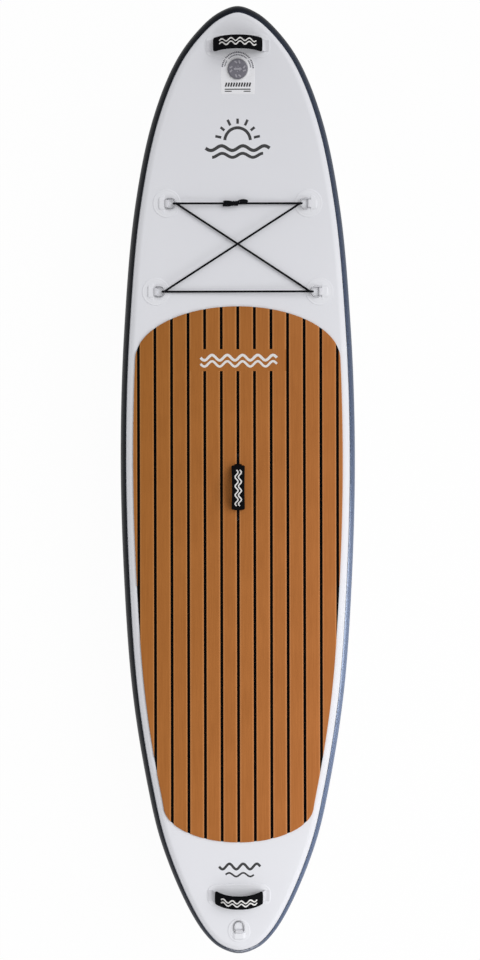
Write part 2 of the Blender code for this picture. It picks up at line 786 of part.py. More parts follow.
def tab_outline():
    """The webbing's section: glued down behind the bar, and folded round it."""
    middle = TAB_WALL + RING_CLEARANCE + RING_WIRE / 2
    outer = [(0.0, 0.0), (-TAB_LENGTH, 0.0), (-TAB_LENGTH, 2 * TAB_WALL), (-2.6 * middle, 2 * TAB_WALL)]
    outer.append((-1.4 * middle, 1.45 * middle))
    for a in range(105, -90, -30):
        outer.append((middle * cos(radians(a)), middle + middle * sin(radians(a))))
    inner_radius = RING_WIRE / 2 + RING_CLEARANCE
    inner = [
        (inner_radius * cos(a), middle + inner_radius * sin(a))
        for a in np.linspace(0, 2 * pi, 12, endpoint=False)
    ]
    return [outer, inner]


def ring_frame(place):
    """The frame of a ring on its hinge: Y along the bar, X out to the bow.

    The cord holds its four rings tilted up, and the tail ring lies on its patch.
    """
    x, y, turn = RING_PLACES[place]
    frame = at_height(deck_frame(x, y, turn), BAR_HEIGHT)
    tilt = REST_TILT if place == "tail" else RING_TILT
    return frame @ Matrix.Rotation(radians(-tilt), 4, "Y")


def build_ring(place):
    """One D-ring with its round patch and its webbing tab."""
    x, y, turn = RING_PLACES[place]
    radius = TAIL_PATCH_RADIUS if place == "tail" else RING_PATCH_RADIUS
    outline = rounded(radius, radius, radius, 5, (x, y))
    draped(f"{place}_ring_patch", outline, GAP, PATCH_WALL, WHITE_PVC)
    seat = at_height(deck_frame(x, y, turn), 2 * GAP + PATCH_WALL)
    upright = seat @ Matrix.Rotation(pi / 2, 4, "X")
    flat_shape(f"{place}_ring_tab", tab_outline(), TAB_WIDTH, WHITE_WEBBING, upright)
    frame = ring_frame(place)
    tube(f"{place}_d_ring", ring_points(), RING_WIRE, STEEL, closed=True, sides_level=1, matrix=frame)


# Luggage net
def round_wire(place, first_side, toward_before, toward_after):
    """The cord's points round a ring's wire at its bow, over it or under it first, with a step each way."""
    frame = ring_frame(place)
    wire = frame @ Vector((RING_REACH, 0.0, 0.0))
    up = (frame.to_3x3() @ Vector((0.0, 0.0, 1.0))).normalized()
    back = (frame.to_3x3() @ Vector((-1.0, 0.0, 0.0))).normalized()
    radius = RING_WIRE / 2 + CORD_DIAMETER / 2 + CORD_CLEARANCE
    turn = [wire + radius * (up * first_side * cos(a) + back * sin(a)) for a in np.linspace(0, pi, 7)]
    step = 2.5 * radius
    before = turn[0] + (toward_before - turn[0]).normalized() * step
    after = turn[-1] + (toward_after - turn[-1]).normalized() * step
    return [before, *turn, after]


def build_net():
    """The bungee cord, one loop through four rings that crosses itself, and the knot that closes it."""
    bows = {place: ring_frame(place) @ Vector((RING_REACH, 0, 0)) for place in RING_PLACES}
    front = (bows["bow_left"] + bows["bow_right"]) / 2
    knot = front - Vector((KNOT_LEFT_OF_CENTRE, 0, 0))
    end_right = knot + Vector((KNOT_LENGTH / 2 + GAP, 0, 0))
    end_left = knot - Vector((KNOT_LENGTH / 2 + GAP, 0, 0))
    route = [end_right, end_right + Vector((0.03, 0, 0))]
    route += round_wire("bow_right", -1, route[-1], bows["mid_left"])
    route += round_wire("mid_left", 1, bows["bow_right"], bows["mid_right"])
    route += round_wire("mid_right", 1, bows["mid_left"], bows["bow_left"])
    route += round_wire("bow_left", -1, bows["mid_right"], end_left)
    route += [end_left - Vector((0.03, 0, 0)), end_left]
    tube("bungee_cord", route, CORD_DIAMETER, BLACK_FABRIC)
    build_knot(knot)


def build_knot(knot):
    """The knot's lump, with its two short tails."""
    mesh = bpy.data.meshes.new("bungee_knot")
    work = bmesh.new()
    size = Matrix.Diagonal((KNOT_LENGTH, KNOT_WIDTH, KNOT_WIDTH, 1.0))
    bmesh.ops.create_uvsphere(work, u_segments=10, v_segments=6, radius=0.5, matrix=size)
    work.to_mesh(mesh)
    work.free()
    lump = add("bungee_knot", mesh, BLACK_FABRIC, Matrix.Translation(knot))
    side = 1.4 * CORD_DIAMETER
    left = [(-0.002, -side / 2), (-0.016, -side), (-0.042, -side)]
    right = [(0.002, side / 2), (0.011, 1.5 * side), (0.024, 2.0 * side), (0.038, 1.3 * side)]
    for name, points in (("left_tail", left), ("right_tail", right)):
        route = [knot + Vector((x, y, 0.0)) for x, y in points]
        join(lump, as_mesh(tube(name, route, CORD_DIAMETER, BLACK_FABRIC)))


# Handles
def foot_start(lift):
    """Where the strap reaches its patch: close by the grip on the handle whose strap drops through the pad."""
    return CENTRE_FOOT_START if lift else STRAP_FOOT_START


def grip_length(lift):
    """The grip's length: a little shorter on the handle in the pad."""
    return CENTRE_GRIP_LENGTH if lift else GRIP_LENGTH


def handle_height(s, lift):
    """Height of the handle's middle line over its patch, at a distance along it from its middle."""
    s = abs(s)
    half = grip_length(lift) / 2
    rise = GRIP_TOP_HEIGHT - GRIP_END_HEIGHT
    end = GRIP_END_HEIGHT + lift
    if s <= half:
        return end + rise * (1 - (s / half) ** ARCH_POWER)
    foot = GAP + STRAP_WALL / 2
    if s >= foot_start(lift):
        return foot
    span = foot_start(lift) - half
    t = (s - half) / span
    slope = -rise * ARCH_POWER / half * span
    return (
        (2 * t**3 - 3 * t**2 + 1) * end
        + (t**3 - 2 * t**2 + t) * slope
        + (3 * t**2 - 2 * t**3) * foot
    )


GRIP_STEPS = 8


def grip_places(lift):
    """Distances along the handle at which the grip's arch is drawn, closer together towards its ends."""
    shares = [k / GRIP_STEPS - 0.5 for k in range(GRIP_STEPS + 1)]
    return [grip_length(lift) * (1.25 * u - u**3) for u in shares]


def leaned(point, s, lean):
    """Tips a point of the handle about the line of its feet, all of it in the grip and less towards a foot."""
    t = min(1.0, max(0.0, (abs(s) - GRIP_LENGTH / 2) / (STRAP_FOOT_START - GRIP_LENGTH / 2)))
    turn = radians(lean) * (1 - t * t * (3 - 2 * t))
    x, y, z = point
    return (x, y * cos(turn) + z * sin(turn), z * cos(turn) - y * sin(turn))


def grip_mesh(name, lean, lift):
    """The padded grip's outer face: a flat, round-edged section carried along the arch."""
    round_end = GRIP_THICKNESS / 2
    flat = GRIP_WIDTH / 2 - round_end
    section = []
    for centre, start in ((flat, -90), (-flat, 90)):
        for a in range(start, start + 181, 45):
            section.append((centre + round_end * cos(radians(a)), round_end * sin(radians(a))))
    rows = []
    for s in grip_places(lift):
        inside = min(abs(s), grip_length(lift) / 2 - 2e-4) * (1 if s > 0 else -1)
        slope = (handle_height(inside + 1e-4, lift) - handle_height(inside - 1e-4, lift)) / 2e-4
        along = Vector((1.0, 0.0, slope)).normalized()
        ring = []
        for across, out in section:
            x = s - along.z * out
            ring.append(leaned((x, across, handle_height(s, lift) + along.x * out), s, lean))
        rows.append([*ring, ring[0]])
    return grid_mesh(name, rows)


def strap_mesh(name, lean, lift):
    """The strap's middle surface, from foot to foot."""
    half = grip_length(lift) / 2
    bend = [half + (foot_start(lift) - half) * k / 4 for k in (1, 2, 3, 4)]
    outer = [*bend, STRAP_FOOT_END]
    path = [-s for s in reversed(outer)] + grip_places(lift) + outer
    rows = []
    for s in path:
        edges = [(s, side * STRAP_WIDTH / 2, handle_height(s, lift)) for side in (1, -1)]
        rows.append([leaned(edge, s, lean) for edge in edges])
    return grid_mesh(name, rows)


def build_handle(place, y, turn, lean, lift=0.0):
    """A patch, a webbing strap from foot to foot, and the padded grip round the strap."""
    if place == "centre":
        half = (CENTRE_PATCH_WIDTH / 2, CENTRE_PATCH_LENGTH / 2, CENTRE_PATCH_CORNER)
        film, webbing = DARK_PVC, BLACK_FABRIC
    else:
        half = (HANDLE_PATCH_LENGTH / 2, HANDLE_PATCH_WIDTH / 2, HANDLE_PATCH_CORNER)
        film, webbing = WHITE_PVC, WHITE_WEBBING
    draped(f"{place}_handle_patch", rounded(*half, 4, (0.0, y)), GAP, PATCH_WALL, film)
    seat = at_height(deck_frame(0.0, y, turn), GAP + PATCH_WALL)
    strap = add(f"{place}_handle_strap", strap_mesh("strap", lean, lift), webbing, seat)
    thicken(strap, STRAP_WALL, 0.0)
    grip = add(f"{place}_handle_grip", grip_mesh("grip", lean, lift), BLACK_FABRIC, seat)
    thicken(grip, GRIP_WALL)


# Valve
def build_valve():
    """Body, clamp nut, spring-loaded stem with its seal, and the cap with its gasket."""
    top = GAP + VALVE_FLANGE_WALL
    body = turned(
        "valve_body",
        [
            (VALVE_BORE_RADIUS, top),
            (VALVE_FLANGE_RADIUS, top),
            (VALVE_FLANGE_RADIUS, GAP),
            (VALVE_BARREL_RADIUS, GAP),
            (VALVE_BARREL_RADIUS, -VALVE_DEPTH),
            (SEAT_RADIUS, -VALVE_DEPTH),
            (SEAT_RADIUS, -VALVE_DEPTH + SEAT_WALL),
            (VALVE_BORE_RADIUS, -VALVE_DEPTH + SEAT_WALL + 0.002),
        ],
        GREY_PLASTIC,
        VALVE_FRAME,
    )
    hub_hole = STEM_RADIUS + 0.0005
    hub_top, hub_foot = -SPIDER_DEPTH, -SPIDER_DEPTH - SPIDER_WALL
    hub = turned(
        "spider_hub",
        [
            (hub_hole, hub_top),
            (SPIDER_HUB_RADIUS, hub_top),
            (SPIDER_HUB_RADIUS, hub_foot),
            (hub_hole, hub_foot),
        ],
        GREY_PLASTIC,
        VALVE_FRAME,
        sides=12,
    )
    join(body, hub)
    arm_start = (hub_hole + SPIDER_HUB_RADIUS) / 2
    arm_end = (VALVE_BORE_RADIUS + VALVE_BARREL_RADIUS) / 2
    arm_z = (hub_top + hub_foot) / 2
    for k in range(3):
        turn = VALVE_FRAME @ Matrix.Rotation(2 * pi * k / 3 + pi / 2, 4, "Z")
        size = (arm_end - arm_start, SPIDER_WALL * 0.8, SPIDER_WALL * 0.8)
        middle = ((arm_end + arm_start) / 2, 0.0, arm_z)
        join(body, box(f"spider_arm_{k}", size, GREY_PLASTIC, turn, middle))
    nut_top = -SKIN_WALL - 2 * GAP
    turned(
        "valve_nut",
        [
            (VALVE_BARREL_RADIUS + GAP, nut_top),
            (NUT_RADIUS, nut_top),
            (NUT_RADIUS, nut_top - NUT_WALL),
            (VALVE_BARREL_RADIUS + GAP, nut_top - NUT_WALL),
        ],
        GREY_PLASTIC,
        VALVE_FRAME,
    )
    build_stem()
    build_cap(top)


def build_stem():
    """The push stem, the seal that it pulls up against the seat, and its spring."""
    seal_top = -VALVE_DEPTH - GAP
    seal_foot = seal_top - SEAL_WALL
    plate_top = seal_foot - GAP
    plate_foot = plate_top - 0.002
    plate_radius = SEAL_RADIUS - 0.0015
    button_foot = -BUTTON_DEPTH - BUTTON_WALL
    turned(
        "valve_stem",
        [
            (0.0, -BUTTON_DEPTH),
            (BUTTON_RADIUS, -BUTTON_DEPTH),
            (BUTTON_RADIUS, button_foot),
            (STEM_RADIUS, button_foot),
            (STEM_RADIUS, plate_top),
            (plate_radius, plate_top),
            (plate_radius, plate_foot),
            (0.0, plate_foot),
        ],
        BLACK_PLASTIC,
        VALVE_FRAME,
        closed=False,
        sides=12,
    )
    turned(
        "valve_seal",
        [
            (STEM_RADIUS + GAP, seal_top),
            (SEAL_RADIUS, seal_top),
            (SEAL_RADIUS, seal_foot),
            (STEM_RADIUS + GAP, seal_foot),
        ],
        RUBBER,
        VALVE_FRAME,
    )
    low = -SPIDER_DEPTH + GAP + SPRING_WIRE / 2
    high = button_foot - GAP - SPRING_WIRE / 2
    count = int(SPRING_TURNS * 9)
    points = []
    for k in range(count + 1):
        a = 2 * pi * SPRING_TURNS * k / count
        z = low + (high - low) * k / count
        points.append((SPRING_RADIUS * cos(a), SPRING_RADIUS * sin(a), z))
    tube("valve_spring", points, SPRING_WIRE, STEEL, sides_level=1, matrix=VALVE_FRAME)


def build_cap(top):
    """The cap over the flange, with the ring that plugs the bore, and the gasket under it."""
    under = CAP_HEIGHT - CAP_TOP_WALL
    skirt_foot = 0.0009
    skirt_inner = CAP_RADIUS - CAP_SKIRT_WALL
    plug_outer = VALVE_BORE_RADIUS - 0.0004
    plug_foot = top - 0.0028
    turned(
        "valve_cap",
        [
            (0.0, CAP_HEIGHT),
            (CAP_RADIUS - CAP_EDGE, CAP_HEIGHT),
            (CAP_RADIUS, CAP_HEIGHT - CAP_EDGE),
            (CAP_RADIUS, skirt_foot),
            (skirt_inner, skirt_foot),
            (skirt_inner, under),
            (plug_outer, under),
            (plug_outer, plug_foot),
            (plug_outer - CAP_PLUG_WALL, plug_foot),
            (plug_outer - CAP_PLUG_WALL, under),
            (0.0, under),
        ],
        GREY_PLASTIC,
        VALVE_FRAME,
        closed=False,
    )
    turned(
        "valve_gasket",
        [
            (GASKET_INNER_RADIUS, under - GAP),
            (GASKET_OUTER_RADIUS, under - GAP),
            (GASKET_OUTER_RADIUS, top + GAP),
            (GASKET_INNER_RADIUS, top + GAP),
        ],
        RUBBER,
        VALVE_FRAME,
    )


# Fins
FIN_BOX_Y = TAIL + FIN_BOX_FROM_TAIL


def fin_box_frame():
    """The box's frame: its origin at the middle of the slot's mouth, and its Y along the slot to the nose."""
    half = FIN_BOX_LENGTH / 2
    low, high = bottom_z(FIN_BOX_Y - half), bottom_z(FIN_BOX_Y + half)
    across = Vector((1.0, 0.0, 0.0))
    ahead = Vector((0.0, 2 * half, high - low)).normalized()
    up = across.cross(ahead)
    frame = Matrix((across, ahead, up)).transposed().to_4x4()
    frame.translation = (0.0, FIN_BOX_Y, (low + high) / 2 - 2 * GAP - PATCH_WALL - FIN_FLANGE_SINK)
    return at_height(frame, -FIN_BOX_HEIGHT)


FIN_FRAME = fin_box_frame()


def fin_blade(name, depth, chord, wall, top, material, frame, lean=0.0):
    """A raked fin: sections of a thin foil from root to tip, drawn back and tapered."""
    rows = []
    for share, back, length, thick in (
        (0.0, 0.0, 1.0, 1.0),
        (0.25, 0.06, 0.90, 0.85),
        (0.5, 0.20, 0.76, 0.65),
        (0.75, 0.42, 0.56, 0.45),
        (0.93, 0.66, 0.33, 0.30),
        (1.0, 0.82, 0.14, 0.20),
    ):
        z = top - depth * share
        nose = chord / 2 - back * chord
        shift = (z - top) * np.tan(radians(lean))
        half = wall * thick / 2
        tail = nose - chord * length
        ring = [(0.0, nose), (half, nose - 0.3 * (nose - tail)), (0.6 * half, nose - 0.7 * (nose - tail))]
        ring += [(0.0, tail)]
        ring += [(-0.6 * half, nose - 0.7 * (nose - tail)), (-half, nose - 0.3 * (nose - tail))]
        rows.append([(x + shift, y, z) for x, y in [*ring, ring[0]]])
    mesh = grid_mesh(name, rows)
    work = bmesh.new()
    work.from_mesh(mesh)
    bmesh.ops.holes_fill(work, edges=work.edges, sides=8)
    bmesh.ops.recalc_face_normals(work, faces=work.faces)
    work.to_mesh(mesh)
    work.free()
    return add(name, mesh, material, frame)


def build_fin_box():
    """The box glued under the tail: a bent flange and a straight ridge with the slot and its side grooves."""
    middle = (0.0, FIN_BOX_Y)
    outline = rounded(FIN_PATCH_WIDTH / 2, FIN_PATCH_LENGTH / 2, 0.03, 3, middle)
    draped("fin_box_patch", outline, GAP, PATCH_WALL, WHITE_PVC, bottom_z)
    outline = rounded(FIN_FLANGE_WIDTH / 2, FIN_FLANGE_LENGTH / 2, 0.02, 3, middle)
    height = 2 * GAP + PATCH_WALL
    flange = draped("fin_box", outline, height, FIN_FLANGE_WALL, BLACK_PLASTIC, bottom_z)
    ridge_size = (FIN_BOX_WIDTH, FIN_BOX_LENGTH, FIN_BOX_HEIGHT)
    join(flange, box("ridge", ridge_size, BLACK_PLASTIC, FIN_FRAME, (0, 0, FIN_BOX_HEIGHT / 2)))
    slot_size = (FIN_SLOT_WIDTH, FIN_SLOT_LENGTH, FIN_SLOT_DEPTH + 0.01)
    slot_middle = (0, 0, FIN_SLOT_DEPTH - slot_size[2] / 2)
    join(flange, box("slot", slot_size, BLACK_PLASTIC, FIN_FRAME, slot_middle), "DIFFERENCE")
    groove_size = (FIN_GROOVE_WIDTH, FIN_SLOT_LENGTH - 0.002, FIN_GROOVE_HEIGHT)
    groove_middle = (0, 0, FIN_GROOVE_DEPTH + FIN_GROOVE_HEIGHT / 2)
    join(flange, box("groove", groove_size, BLACK_PLASTIC, FIN_FRAME, groove_middle), "DIFFERENCE")


def build_centre_fin():
    """The fin with its base in the slot, the pin through the base, the thumb screw and its plate nut."""
    base_end = FIN_BASE_LENGTH / 2
    wide = FIN_SLOT_WIDTH - 2 * FIN_BASE_CLEARANCE
    tall = FIN_BASE_HEIGHT + FIN_BASE_PROUD
    back = -base_end
    front = base_end - FIN_FOOT_LENGTH
    root = back + FIN_CHORD / 2
    blade_frame = FIN_FRAME @ Matrix.Translation((0.0, root, 0.0))
    top = -FIN_BASE_PROUD / 2
    fin = fin_blade(
        "centre_fin", FIN_DEPTH, FIN_CHORD, FIN_WALL, top, BLACK_PLASTIC, blade_frame
    )
    base_middle = (0, (front + back) / 2, (FIN_BASE_HEIGHT - FIN_BASE_PROUD) / 2)
    join(fin, box("fin_base", (wide, front - back, tall), BLACK_PLASTIC, FIN_FRAME, base_middle))
    foot_tall = FIN_FOOT_HEIGHT + FIN_BASE_PROUD
    foot_middle = (0, base_end - FIN_FOOT_LENGTH / 2 - 0.001, (FIN_FOOT_HEIGHT - FIN_BASE_PROUD) / 2)
    foot_size = (wide, FIN_FOOT_LENGTH + 0.002, foot_tall)
    join(fin, box("fin_foot", foot_size, BLACK_PLASTIC, FIN_FRAME, foot_middle))
    groove_z = FIN_GROOVE_DEPTH + FIN_GROOVE_HEIGHT / 2
    pin_place = Matrix.Translation((0, back + FIN_PIN_FROM_END, groove_z))
    pin_frame = FIN_FRAME @ pin_place @ Matrix.Rotation(pi / 2, 4, "Y")
    hole = FIN_PIN_DIAMETER / 2 + GAP
    join(fin, rod("pin_hole", hole, 0.02, BRASS, pin_frame), "DIFFERENCE")
    rod("fin_pin", FIN_PIN_DIAMETER / 2, FIN_GROOVE_WIDTH - 3 * GAP, BRASS, pin_frame)
    screw_y = base_end - FIN_FOOT_LENGTH / 2
    screw_frame = FIN_FRAME @ Matrix.Translation((0, screw_y, 0))
    hole = FIN_SCREW_DIAMETER / 2 + GAP
    join(fin, rod("screw_hole", hole, 0.05, BRASS, screw_frame), "DIFFERENCE")
    nut_z = FIN_GROOVE_DEPTH + FIN_GROOVE_HEIGHT / 2
    nut = box("fin_nut", (FIN_NUT_SIDE, FIN_NUT_SIDE, FIN_NUT_WALL), BRASS, screw_frame, (0, 0, nut_z))
    join(nut, rod("nut_hole", hole, 0.05, BRASS, screw_frame), "DIFFERENCE")
    radius = FIN_SCREW_DIAMETER / 2
    head_top = -FIN_BASE_PROUD - GAP
    screw_tip = FIN_GROOVE_DEPTH + FIN_GROOVE_HEIGHT + 0.0015
    turned(
        "fin_screw",
        [
            (0.0, screw_tip),
            (radius, screw_tip),
            (radius, head_top),
            (FIN_SCREW_HEAD_RADIUS, head_top),
            (FIN_SCREW_HEAD_RADIUS, head_top - FIN_SCREW_HEAD_WALL),
            (0.0, head_top - FIN_SCREW_HEAD_WALL),
        ],
        BRASS,
        screw_frame,
        closed=False,
        sides=12,
    )


def build_side_fins():
    """The two small fins, each glued on its own patch beside the box."""
    for name, sign in (("left", -1), ("right", 1)):
        x = sign * SIDE_FIN_OUT
        outline = rounded(SIDE_PATCH_WIDTH / 2, SIDE_PATCH_LENGTH / 2, 0.012, 3, (x, FIN_BOX_Y))
        draped(f"side_fin_patch_{name}", outline, GAP, PATCH_WALL, WHITE_PVC, bottom_z)
        half = SIDE_FIN_CHORD / 2
        low, high = bottom_z(FIN_BOX_Y - half), bottom_z(FIN_BOX_Y + half)
        middle = min(bottom_z(FIN_BOX_Y), (low + high) / 2)
        ahead = Vector((0.0, 2 * half, high - low)).normalized()
        up = Vector((1.0, 0.0, 0.0)).cross(ahead)
        frame = Matrix((Vector((1.0, 0.0, 0.0)), ahead, up)).transposed().to_4x4()
        frame.translation = (x, FIN_BOX_Y, middle - 2 * GAP - PATCH_WALL)
        lean = -sign * SIDE_FIN_CANT
        fin_blade(
            f"side_fin_{name}", SIDE_FIN_DEPTH, SIDE_FIN_CHORD, SIDE_FIN_WALL, 0.0, BLACK_PLASTIC, frame, lean
        )


build_hull()
build_pad()
for ring_place in RING_PLACES:
    build_ring(ring_place)
build_net()
build_handle("bow", NOSE - BOW_HANDLE_FROM_NOSE, 0.0, BOW_HANDLE_LEAN)
build_handle("centre", HANDLE_Y, 90.0, 0.0, PAD_BASE_WALL + PLANK_WALL)
build_handle("tail", TAIL + TAIL_HANDLE_FROM_TAIL, 0.0, TAIL_HANDLE_LEAN)
build_valve()
build_fin_box()
build_centre_fin()
build_side_fins()
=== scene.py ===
# %% [markdown]
# # An inflatable paddle board
# A stand-up paddle board is a flat air mattress: two skins held 150 mm apart by thousands of threads,
# with a strip round the side. On it lie a foam pad, a bungee net and three carry handles, and below it
# stand the fins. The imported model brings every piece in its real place. This lesson gives each one its
# fine shape and its finish.

# %% Load the frame
import json
from math import pi, radians

import bmesh
import bpy
import numpy as np
from mathutils import Matrix, Vector


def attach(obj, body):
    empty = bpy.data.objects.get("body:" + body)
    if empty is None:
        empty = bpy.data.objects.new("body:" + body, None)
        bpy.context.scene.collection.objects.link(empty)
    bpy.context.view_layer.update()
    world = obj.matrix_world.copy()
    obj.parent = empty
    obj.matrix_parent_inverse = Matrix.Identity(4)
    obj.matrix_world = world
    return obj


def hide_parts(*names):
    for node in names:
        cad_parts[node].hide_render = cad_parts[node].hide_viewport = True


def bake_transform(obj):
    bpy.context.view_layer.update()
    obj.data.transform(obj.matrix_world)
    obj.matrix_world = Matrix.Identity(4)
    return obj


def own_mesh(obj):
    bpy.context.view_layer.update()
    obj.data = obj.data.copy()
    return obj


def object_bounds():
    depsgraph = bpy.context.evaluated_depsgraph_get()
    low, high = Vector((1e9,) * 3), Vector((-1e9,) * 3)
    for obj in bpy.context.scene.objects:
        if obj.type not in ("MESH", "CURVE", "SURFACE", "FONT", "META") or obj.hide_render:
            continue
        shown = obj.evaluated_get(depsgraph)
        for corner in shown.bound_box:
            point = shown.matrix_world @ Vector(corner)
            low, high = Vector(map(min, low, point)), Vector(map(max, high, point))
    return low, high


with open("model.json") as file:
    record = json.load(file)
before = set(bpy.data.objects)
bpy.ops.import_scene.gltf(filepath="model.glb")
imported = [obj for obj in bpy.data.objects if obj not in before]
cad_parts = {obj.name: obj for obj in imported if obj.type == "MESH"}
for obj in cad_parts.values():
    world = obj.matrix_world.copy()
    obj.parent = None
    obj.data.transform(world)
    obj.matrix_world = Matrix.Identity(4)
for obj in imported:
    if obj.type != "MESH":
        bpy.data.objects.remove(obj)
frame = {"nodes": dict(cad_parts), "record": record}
CAD_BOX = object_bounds()

# %% [markdown]
# ## The camera
# The photograph was taken from straight above, from so far away that the board hardly narrows. A camera
# that looks straight down keeps the outline true, and a small lens shift frames the whole board without
# tilting it. The Standard view shows each colour as it is written.

# %% Look straight down
DECK_LEVEL = 0.150
CAMERA_DISTANCE = 4.3
CAMERA_PLACE = (-0.05, 0.33)
VIEW_HEIGHT = 3.2745
FRAME_CENTRE = (0.0073, 0.0170)
CAMERA_ROLL = -0.11
SENSOR = 36.0


def added(name, data):
    """An object in the scene."""
    made = bpy.data.objects.new(name, data)
    bpy.context.scene.collection.objects.link(made)
    return made


camera = added("camera", bpy.data.cameras.new("camera"))
camera.data.sensor_width = SENSOR
camera.data.lens = SENSOR * CAMERA_DISTANCE / VIEW_HEIGHT
camera.data.shift_x = (FRAME_CENTRE[0] - CAMERA_PLACE[0]) / VIEW_HEIGHT
camera.data.shift_y = (FRAME_CENTRE[1] - CAMERA_PLACE[1]) / VIEW_HEIGHT
camera.location = (*CAMERA_PLACE, DECK_LEVEL + CAMERA_DISTANCE)
camera.rotation_euler = (0.0, 0.0, radians(CAMERA_ROLL))
bpy.context.scene.camera = camera
bpy.context.scene.view_settings.view_transform = "Standard"
print("lens", round(camera.data.lens, 1), "mm")

# %% [markdown]
# ## Shader maths in Python
# Materials are graphs of nodes. A small class wraps one output of a node, so that a formula such as
# `0.5 + 0.5 * wave` adds its Math nodes by itself and reads like the formula that it is.


# %% Values that add their own nodes
class Field:
    """A number or a vector that changes over the surface. Arithmetic on it adds Math nodes."""

    def __init__(self, graph, socket):
        self.graph = graph
        self.socket = socket

    def math(self, operation, *others):
        """One Math node, with this value first."""
        inputs = dict(enumerate((self, *others)))
        return self.graph.node("ShaderNodeMath", {"operation": operation}, inputs)

    def __add__(self, other):
        return self.math("ADD", other)

    def __sub__(self, other):
        return self.math("SUBTRACT", other)

    def __mul__(self, other):
        return self.math("MULTIPLY", other)

    __radd__ = __add__
    __rmul__ = __mul__

    def sine(self):
        return self.math("SINE")

    def at_least(self, other):
        return self.math("MAXIMUM", other)

    def above(self, edge, softness):
        """0 below the edge and 1 above it, with a soft step between."""
        settings = {"interpolation_type": "SMOOTHSTEP"}
        values = {"Value": self, "From Min": edge - softness, "From Max": edge + softness}
        return self.graph.node("ShaderNodeMapRange", settings, values)


class Graph:
    """A tree of nodes being made: a node is added by its type, and its inputs are set or linked."""

    def __init__(self, tree):
        self.tree = tree

    def fill(self, socket, value):
        if isinstance(value, Field):
            self.tree.links.new(value.socket, socket)
        elif isinstance(value, tuple) and len(value) == 3 and socket.type == "RGBA":
            socket.default_value = (*value, 1.0)
        else:
            socket.default_value = value

    def node(self, kind, settings=None, inputs=None, output=0):
        """Adds a node, sets it up, then fills its inputs, and returns one of its outputs."""
        made = self.tree.nodes.new(kind)
        for key, value in (settings or {}).items():
            setattr(made, key, value)
        for key, value in (inputs or {}).items():
            self.fill(made.inputs[key], value)
        return Field(self, made.outputs[output])

    def seen_rays(self):
        """1 for rays from the camera, off something glossy or through something clear, and 0 for others."""
        kinds = self.tree.nodes.new("ShaderNodeLightPath").outputs
        camera_ray, glossy, clear = (
            Field(self, kinds[f"Is {kind} Ray"]) for kind in ("Camera", "Glossy", "Transmission")
        )
        return camera_ray.at_least(glossy).at_least(clear)


class Paint(Graph):
    """A material being made, whose finish goes to the Principled shader."""

    def __init__(self, name, colour, roughness, **fixed):
        self.material = bpy.data.materials.new(name)
        self.material.use_nodes = True
        super().__init__(self.material.node_tree)
        self.shader = self.tree.nodes["Principled BSDF"]
        self.put("Base Color", colour)
        self.put("Roughness", roughness)
        for socket, value in fixed.items():
            self.put(socket.replace("_", " "), value)

    def put(self, socket, value):
        """Sets an input of the Principled shader, or links a value to it."""
        self.fill(self.shader.inputs[socket], value)

    def place(self, output="Object"):
        """The point's place on its piece: Object is in metres, UV follows the surface."""
        return self.node("ShaderNodeTexCoord", output=output)

    def axes(self, vector):
        """A vector's three parts."""
        made = self.tree.nodes.new("ShaderNodeSeparateXYZ")
        self.fill(made.inputs[0], vector)
        return [Field(self, socket) for socket in made.outputs]

    def stretched(self, vector, scale):
        """A place with each axis scaled."""
        settings = {"operation": "MULTIPLY"}
        return self.node("ShaderNodeVectorMath", settings, {0: vector, 1: scale})

    def noise(self, place, scale, detail=2.0, roughness=0.5):
        """Cloudy noise from 0 to 1."""
        values = {"Vector": place, "Scale": scale, "Detail": detail, "Roughness": roughness}
        return self.node("ShaderNodeTexNoise", None, values)

    def mix(self, share, first, second):
        """A colour between two colours."""
        values = {0: share, 6: first, 7: second}
        return self.node("ShaderNodeMix", {"data_type": "RGBA"}, values, output=2)

    def bump(self, height, distance):
        """Roughens the surface by a height from 0 to 1, as deep as the distance in metres."""
        values = {"Height": height, "Distance": distance, "Strength": 1.0}
        self.put("Normal", self.node("ShaderNodeBump", None, values))
        return self


# %% [markdown]
# ## Coated fabric
# The hull is polyester cloth under a film of PVC. Up close the film shows the cloth's weave as a very
# fine dimpling, and from a step away only a soft, even sheen. Sine waves along the board and across it
# give the weave.


# %% Coated fabric
def coated_fabric(name, colour, shade, roughness, sheen=0.5, weave=0.0009):
    """PVC film on cloth: slow, faint changes of colour, and a weave of two crossed sine waves."""
    paint = Paint(name, colour, roughness, Specular_IOR_Level=sheen)
    place = paint.place()
    cloud = paint.noise(place, 3.0, 3.0)
    paint.put("Base Color", paint.mix(cloud, shade, colour))
    paint.put("Roughness", roughness - 0.04 + 0.08 * paint.noise(place, 40.0, 2.0))
    x, y, z = paint.axes(place)
    turn = 2 * pi / weave
    threads = (x * turn).sine() * (y * turn).sine() * 0.5 + (z * turn).sine() * 0.25
    return paint.bump(0.5 + 0.35 * threads + 0.4 * paint.noise(place, 220.0, 2.0), 0.00006).material


CHARCOAL, CHARCOAL_SHADE = (0.0075, 0.0090, 0.0130), (0.0060, 0.0075, 0.0110)
WHITE_PVC = coated_fabric("white_coated_fabric", (0.80, 0.805, 0.845), (0.775, 0.78, 0.825), 0.42, 0.25)
RAIL_PVC = coated_fabric("charcoal_coated_fabric", CHARCOAL, CHARCOAL_SHADE, 0.38, 0.05)
PATCH_PVC = coated_fabric("patch_fabric", (0.80, 0.805, 0.845), (0.785, 0.79, 0.83), 0.40)
FILM_PVC = coated_fabric("smooth_film", (0.86, 0.86, 0.89), (0.85, 0.85, 0.885), 0.28)
print("coated fabrics: 4")

